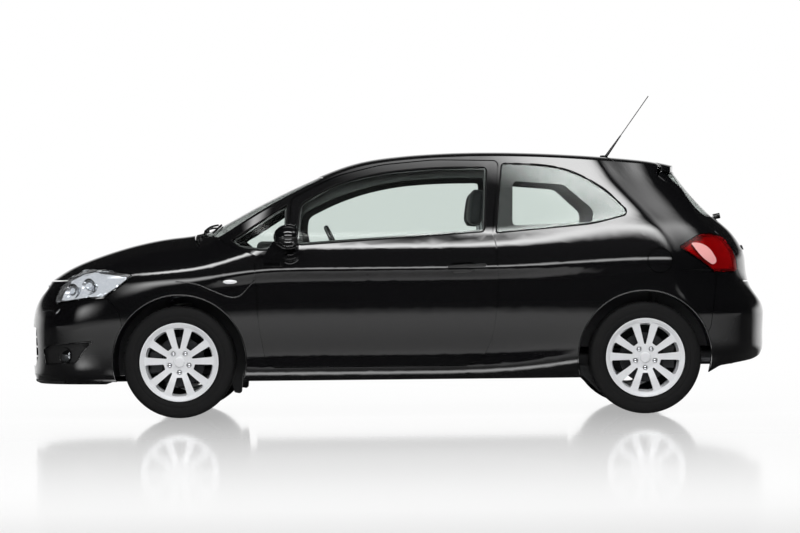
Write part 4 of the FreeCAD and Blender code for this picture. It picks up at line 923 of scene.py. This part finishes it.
def studio_floor():
    """A floor that is white to the camera, mirrors the car softly and stays dark in the paint near the camera."""
    deselect()
    bpy.ops.mesh.primitive_plane_add(size=160, location=(0, 0, 0))
    floor = bpy.context.active_object
    floor.name = "studio_floor"
    material = bpy.data.materials.new("polished_white_floor")
    material.use_nodes = True
    tree = material.node_tree
    tree.nodes.clear()
    rays = add_node(tree, "ShaderNodeLightPath").outputs
    matt = add_node(tree, "ShaderNodeBsdfDiffuse", {"Color": linear("DCDCDC")}).outputs[0]
    polish = add_node(tree, "ShaderNodeBsdfGlossy", {"Color": WHITE, "Roughness": 0.06}).outputs[0]
    white = add_node(tree, "ShaderNodeEmission", {"Color": WHITE, "Strength": 1.0}).outputs[0]
    dark = add_node(tree, "ShaderNodeEmission", {"Color": (0, 0, 0, 1), "Strength": 0.0}).outputs[0]
    where = add_node(tree, "ShaderNodeTexCoord").outputs["Object"]
    y = add_node(tree, "ShaderNodeSeparateXYZ", Vector=where).outputs["Y"]
    # Behind the car the floor runs into the white backdrop; towards the camera its mirror image fades out.
    into_white = ramp(tree, y, 1.2, 7.0, FLOOR_WHITE, 1.0)
    fading = ramp(tree, y, -8.0, -1.0, 0.05, FLOOR_POLISH)
    seen = add_node(tree, "ShaderNodeMath", {"operation": "MULTIPLY"}, (rays["Is Camera Ray"], into_white)).outputs[0]
    surface = add_node(tree, "ShaderNodeMixShader", None, (fading, matt, polish)).outputs[0]
    # In the paint's reflections the floor's light falls off towards the camera.
    falling = ramp(tree, y, -14.0, -4.0, 0.97, 0.0)
    unlit = add_node(tree, "ShaderNodeMath", {"operation": "MULTIPLY"}, (rays["Is Glossy Ray"], falling)).outputs[0]
    lit = add_node(tree, "ShaderNodeMixShader", None, (unlit, surface, dark)).outputs[0]
    mix = add_node(tree, "ShaderNodeMixShader", None, (seen, lit, white)).outputs[0]
    add_node(tree, "ShaderNodeOutputMaterial", Surface=mix)
    floor.data.materials.append(material)


def studio_world():
    """White round the car, even light on matt faces and a dark room in reflections."""
    world = bpy.data.worlds.new("studio")
    bpy.context.scene.world = world
    world.use_nodes = True
    tree = world.node_tree
    tree.nodes.clear()
    rays = add_node(tree, "ShaderNodeLightPath").outputs
    direction = add_node(tree, "ShaderNodeTexCoord").outputs["Generated"]
    split = add_node(tree, "ShaderNodeSeparateXYZ", Vector=direction).outputs
    # What paint and glass reflect: a dark room, with the lit backdrop low behind the car.
    low = ramp(tree, split["Z"], 0.05, 0.16, 1.0, 0.0)
    back = ramp(tree, split["Y"], 0.5, 0.8, 0.0, 1.0)
    glow = add_node(tree, "ShaderNodeMath", {"operation": "MULTIPLY_ADD"}, (low, back, ROOM_GLOW)).outputs[0]
    ambient = add_node(tree, "ShaderNodeBackground", {"Color": WHITE, "Strength": AMBIENT}).outputs[0]
    room = add_node(tree, "ShaderNodeBackground", {"Color": WHITE}, Strength=glow).outputs[0]
    white = add_node(tree, "ShaderNodeBackground", {"Color": WHITE, "Strength": 1.0}).outputs[0]
    glossy = add_node(tree, "ShaderNodeMixShader", None, (rays["Is Glossy Ray"], ambient, room)).outputs[0]
    seen = add_node(tree, "ShaderNodeMath", {"operation": "MAXIMUM"},
                    (rays["Is Camera Ray"], rays["Is Transmission Ray"])).outputs[0]
    final = add_node(tree, "ShaderNodeMixShader", None, (seen, glossy, white)).outputs[0]
    add_node(tree, "ShaderNodeOutputWorld", Surface=final)


def soft_lamp(name, place_at, aim, width, height, glow, ends):
    """A lamp that fades towards its edges; glow is its brightness in the middle, ends how far its ends fade."""
    lamp_data = bpy.data.lights.new(name, "AREA")
    lamp_data.shape = "RECTANGLE"
    lamp_data.size = width
    lamp_data.size_y = height
    lamp_data.energy = glow * math.pi * width * height
    lamp_data.use_nodes = True
    tree = lamp_data.node_tree
    tree.nodes.clear()
    face = add_node(tree, "ShaderNodeNewGeometry").outputs["Parametric"]
    over = add_node(tree, "ShaderNodeSeparateXYZ", Vector=face).outputs
    fades = []
    for axis, reach in (("X", ends), ("Y", 0.5)):
        inwards = add_node(tree, "ShaderNodeMath", {"operation": "PINGPONG"}, (over[axis], 0.5)).outputs[0]
        fade = {"interpolation_type": "SMOOTHSTEP", "From Min": 0.0, "From Max": reach, "To Min": 0.0, "To Max": 1.0}
        fades.append(add_node(tree, "ShaderNodeMapRange", fade, Value=inwards).outputs[0])
    product = add_node(tree, "ShaderNodeMath", {"operation": "MULTIPLY"}, fades).outputs[0]
    shine = add_node(tree, "ShaderNodeEmission", {"Color": WHITE}, Strength=product).outputs[0]
    add_node(tree, "ShaderNodeOutputLight", Surface=shine)
    lamp = bpy.data.objects.new(name, lamp_data)
    lamp.location = place_at
    lamp.rotation_euler = (Vector(aim) - Vector(place_at)).to_track_quat("-Z", "Y").to_euler()
    bpy.context.scene.collection.objects.link(lamp)


studio_floor()
studio_world()
# The shoulder and crease lamps draw the two long lights on the car's side, the pillar lamp the one behind the
# door glass, and the nose card the one at the front wheel.
soft_lamp("shoulder_lamp", (-0.4, -4.55, 7.25), (-0.4, -0.84, 0.93), 11.0, 1.9, 8.5, 0.3)
soft_lamp("crease_lamp", (0.0, -8.4, 3.7), (0, -0.88, 0.83), 12.0, 3.4, 3.6, 0.2)
soft_lamp("pillar_lamp", (4.2, -2.3, 6.3), (1.4, -0.8, 1.2), 3.0, 3.4, 3.0, 0.5)
soft_lamp("nose_card", (-6.3, -6.2, 1.3), (-1.8, -0.8, 0.6), 3.4, 2.2, 2.4, 0.5)
soft_lamp("overhead_lamp", (0, 2.2, 6.5), (0, 0, 0.6), 7.0, 1.6, 1.0, 0.5)

bpy.context.view_layer.update()
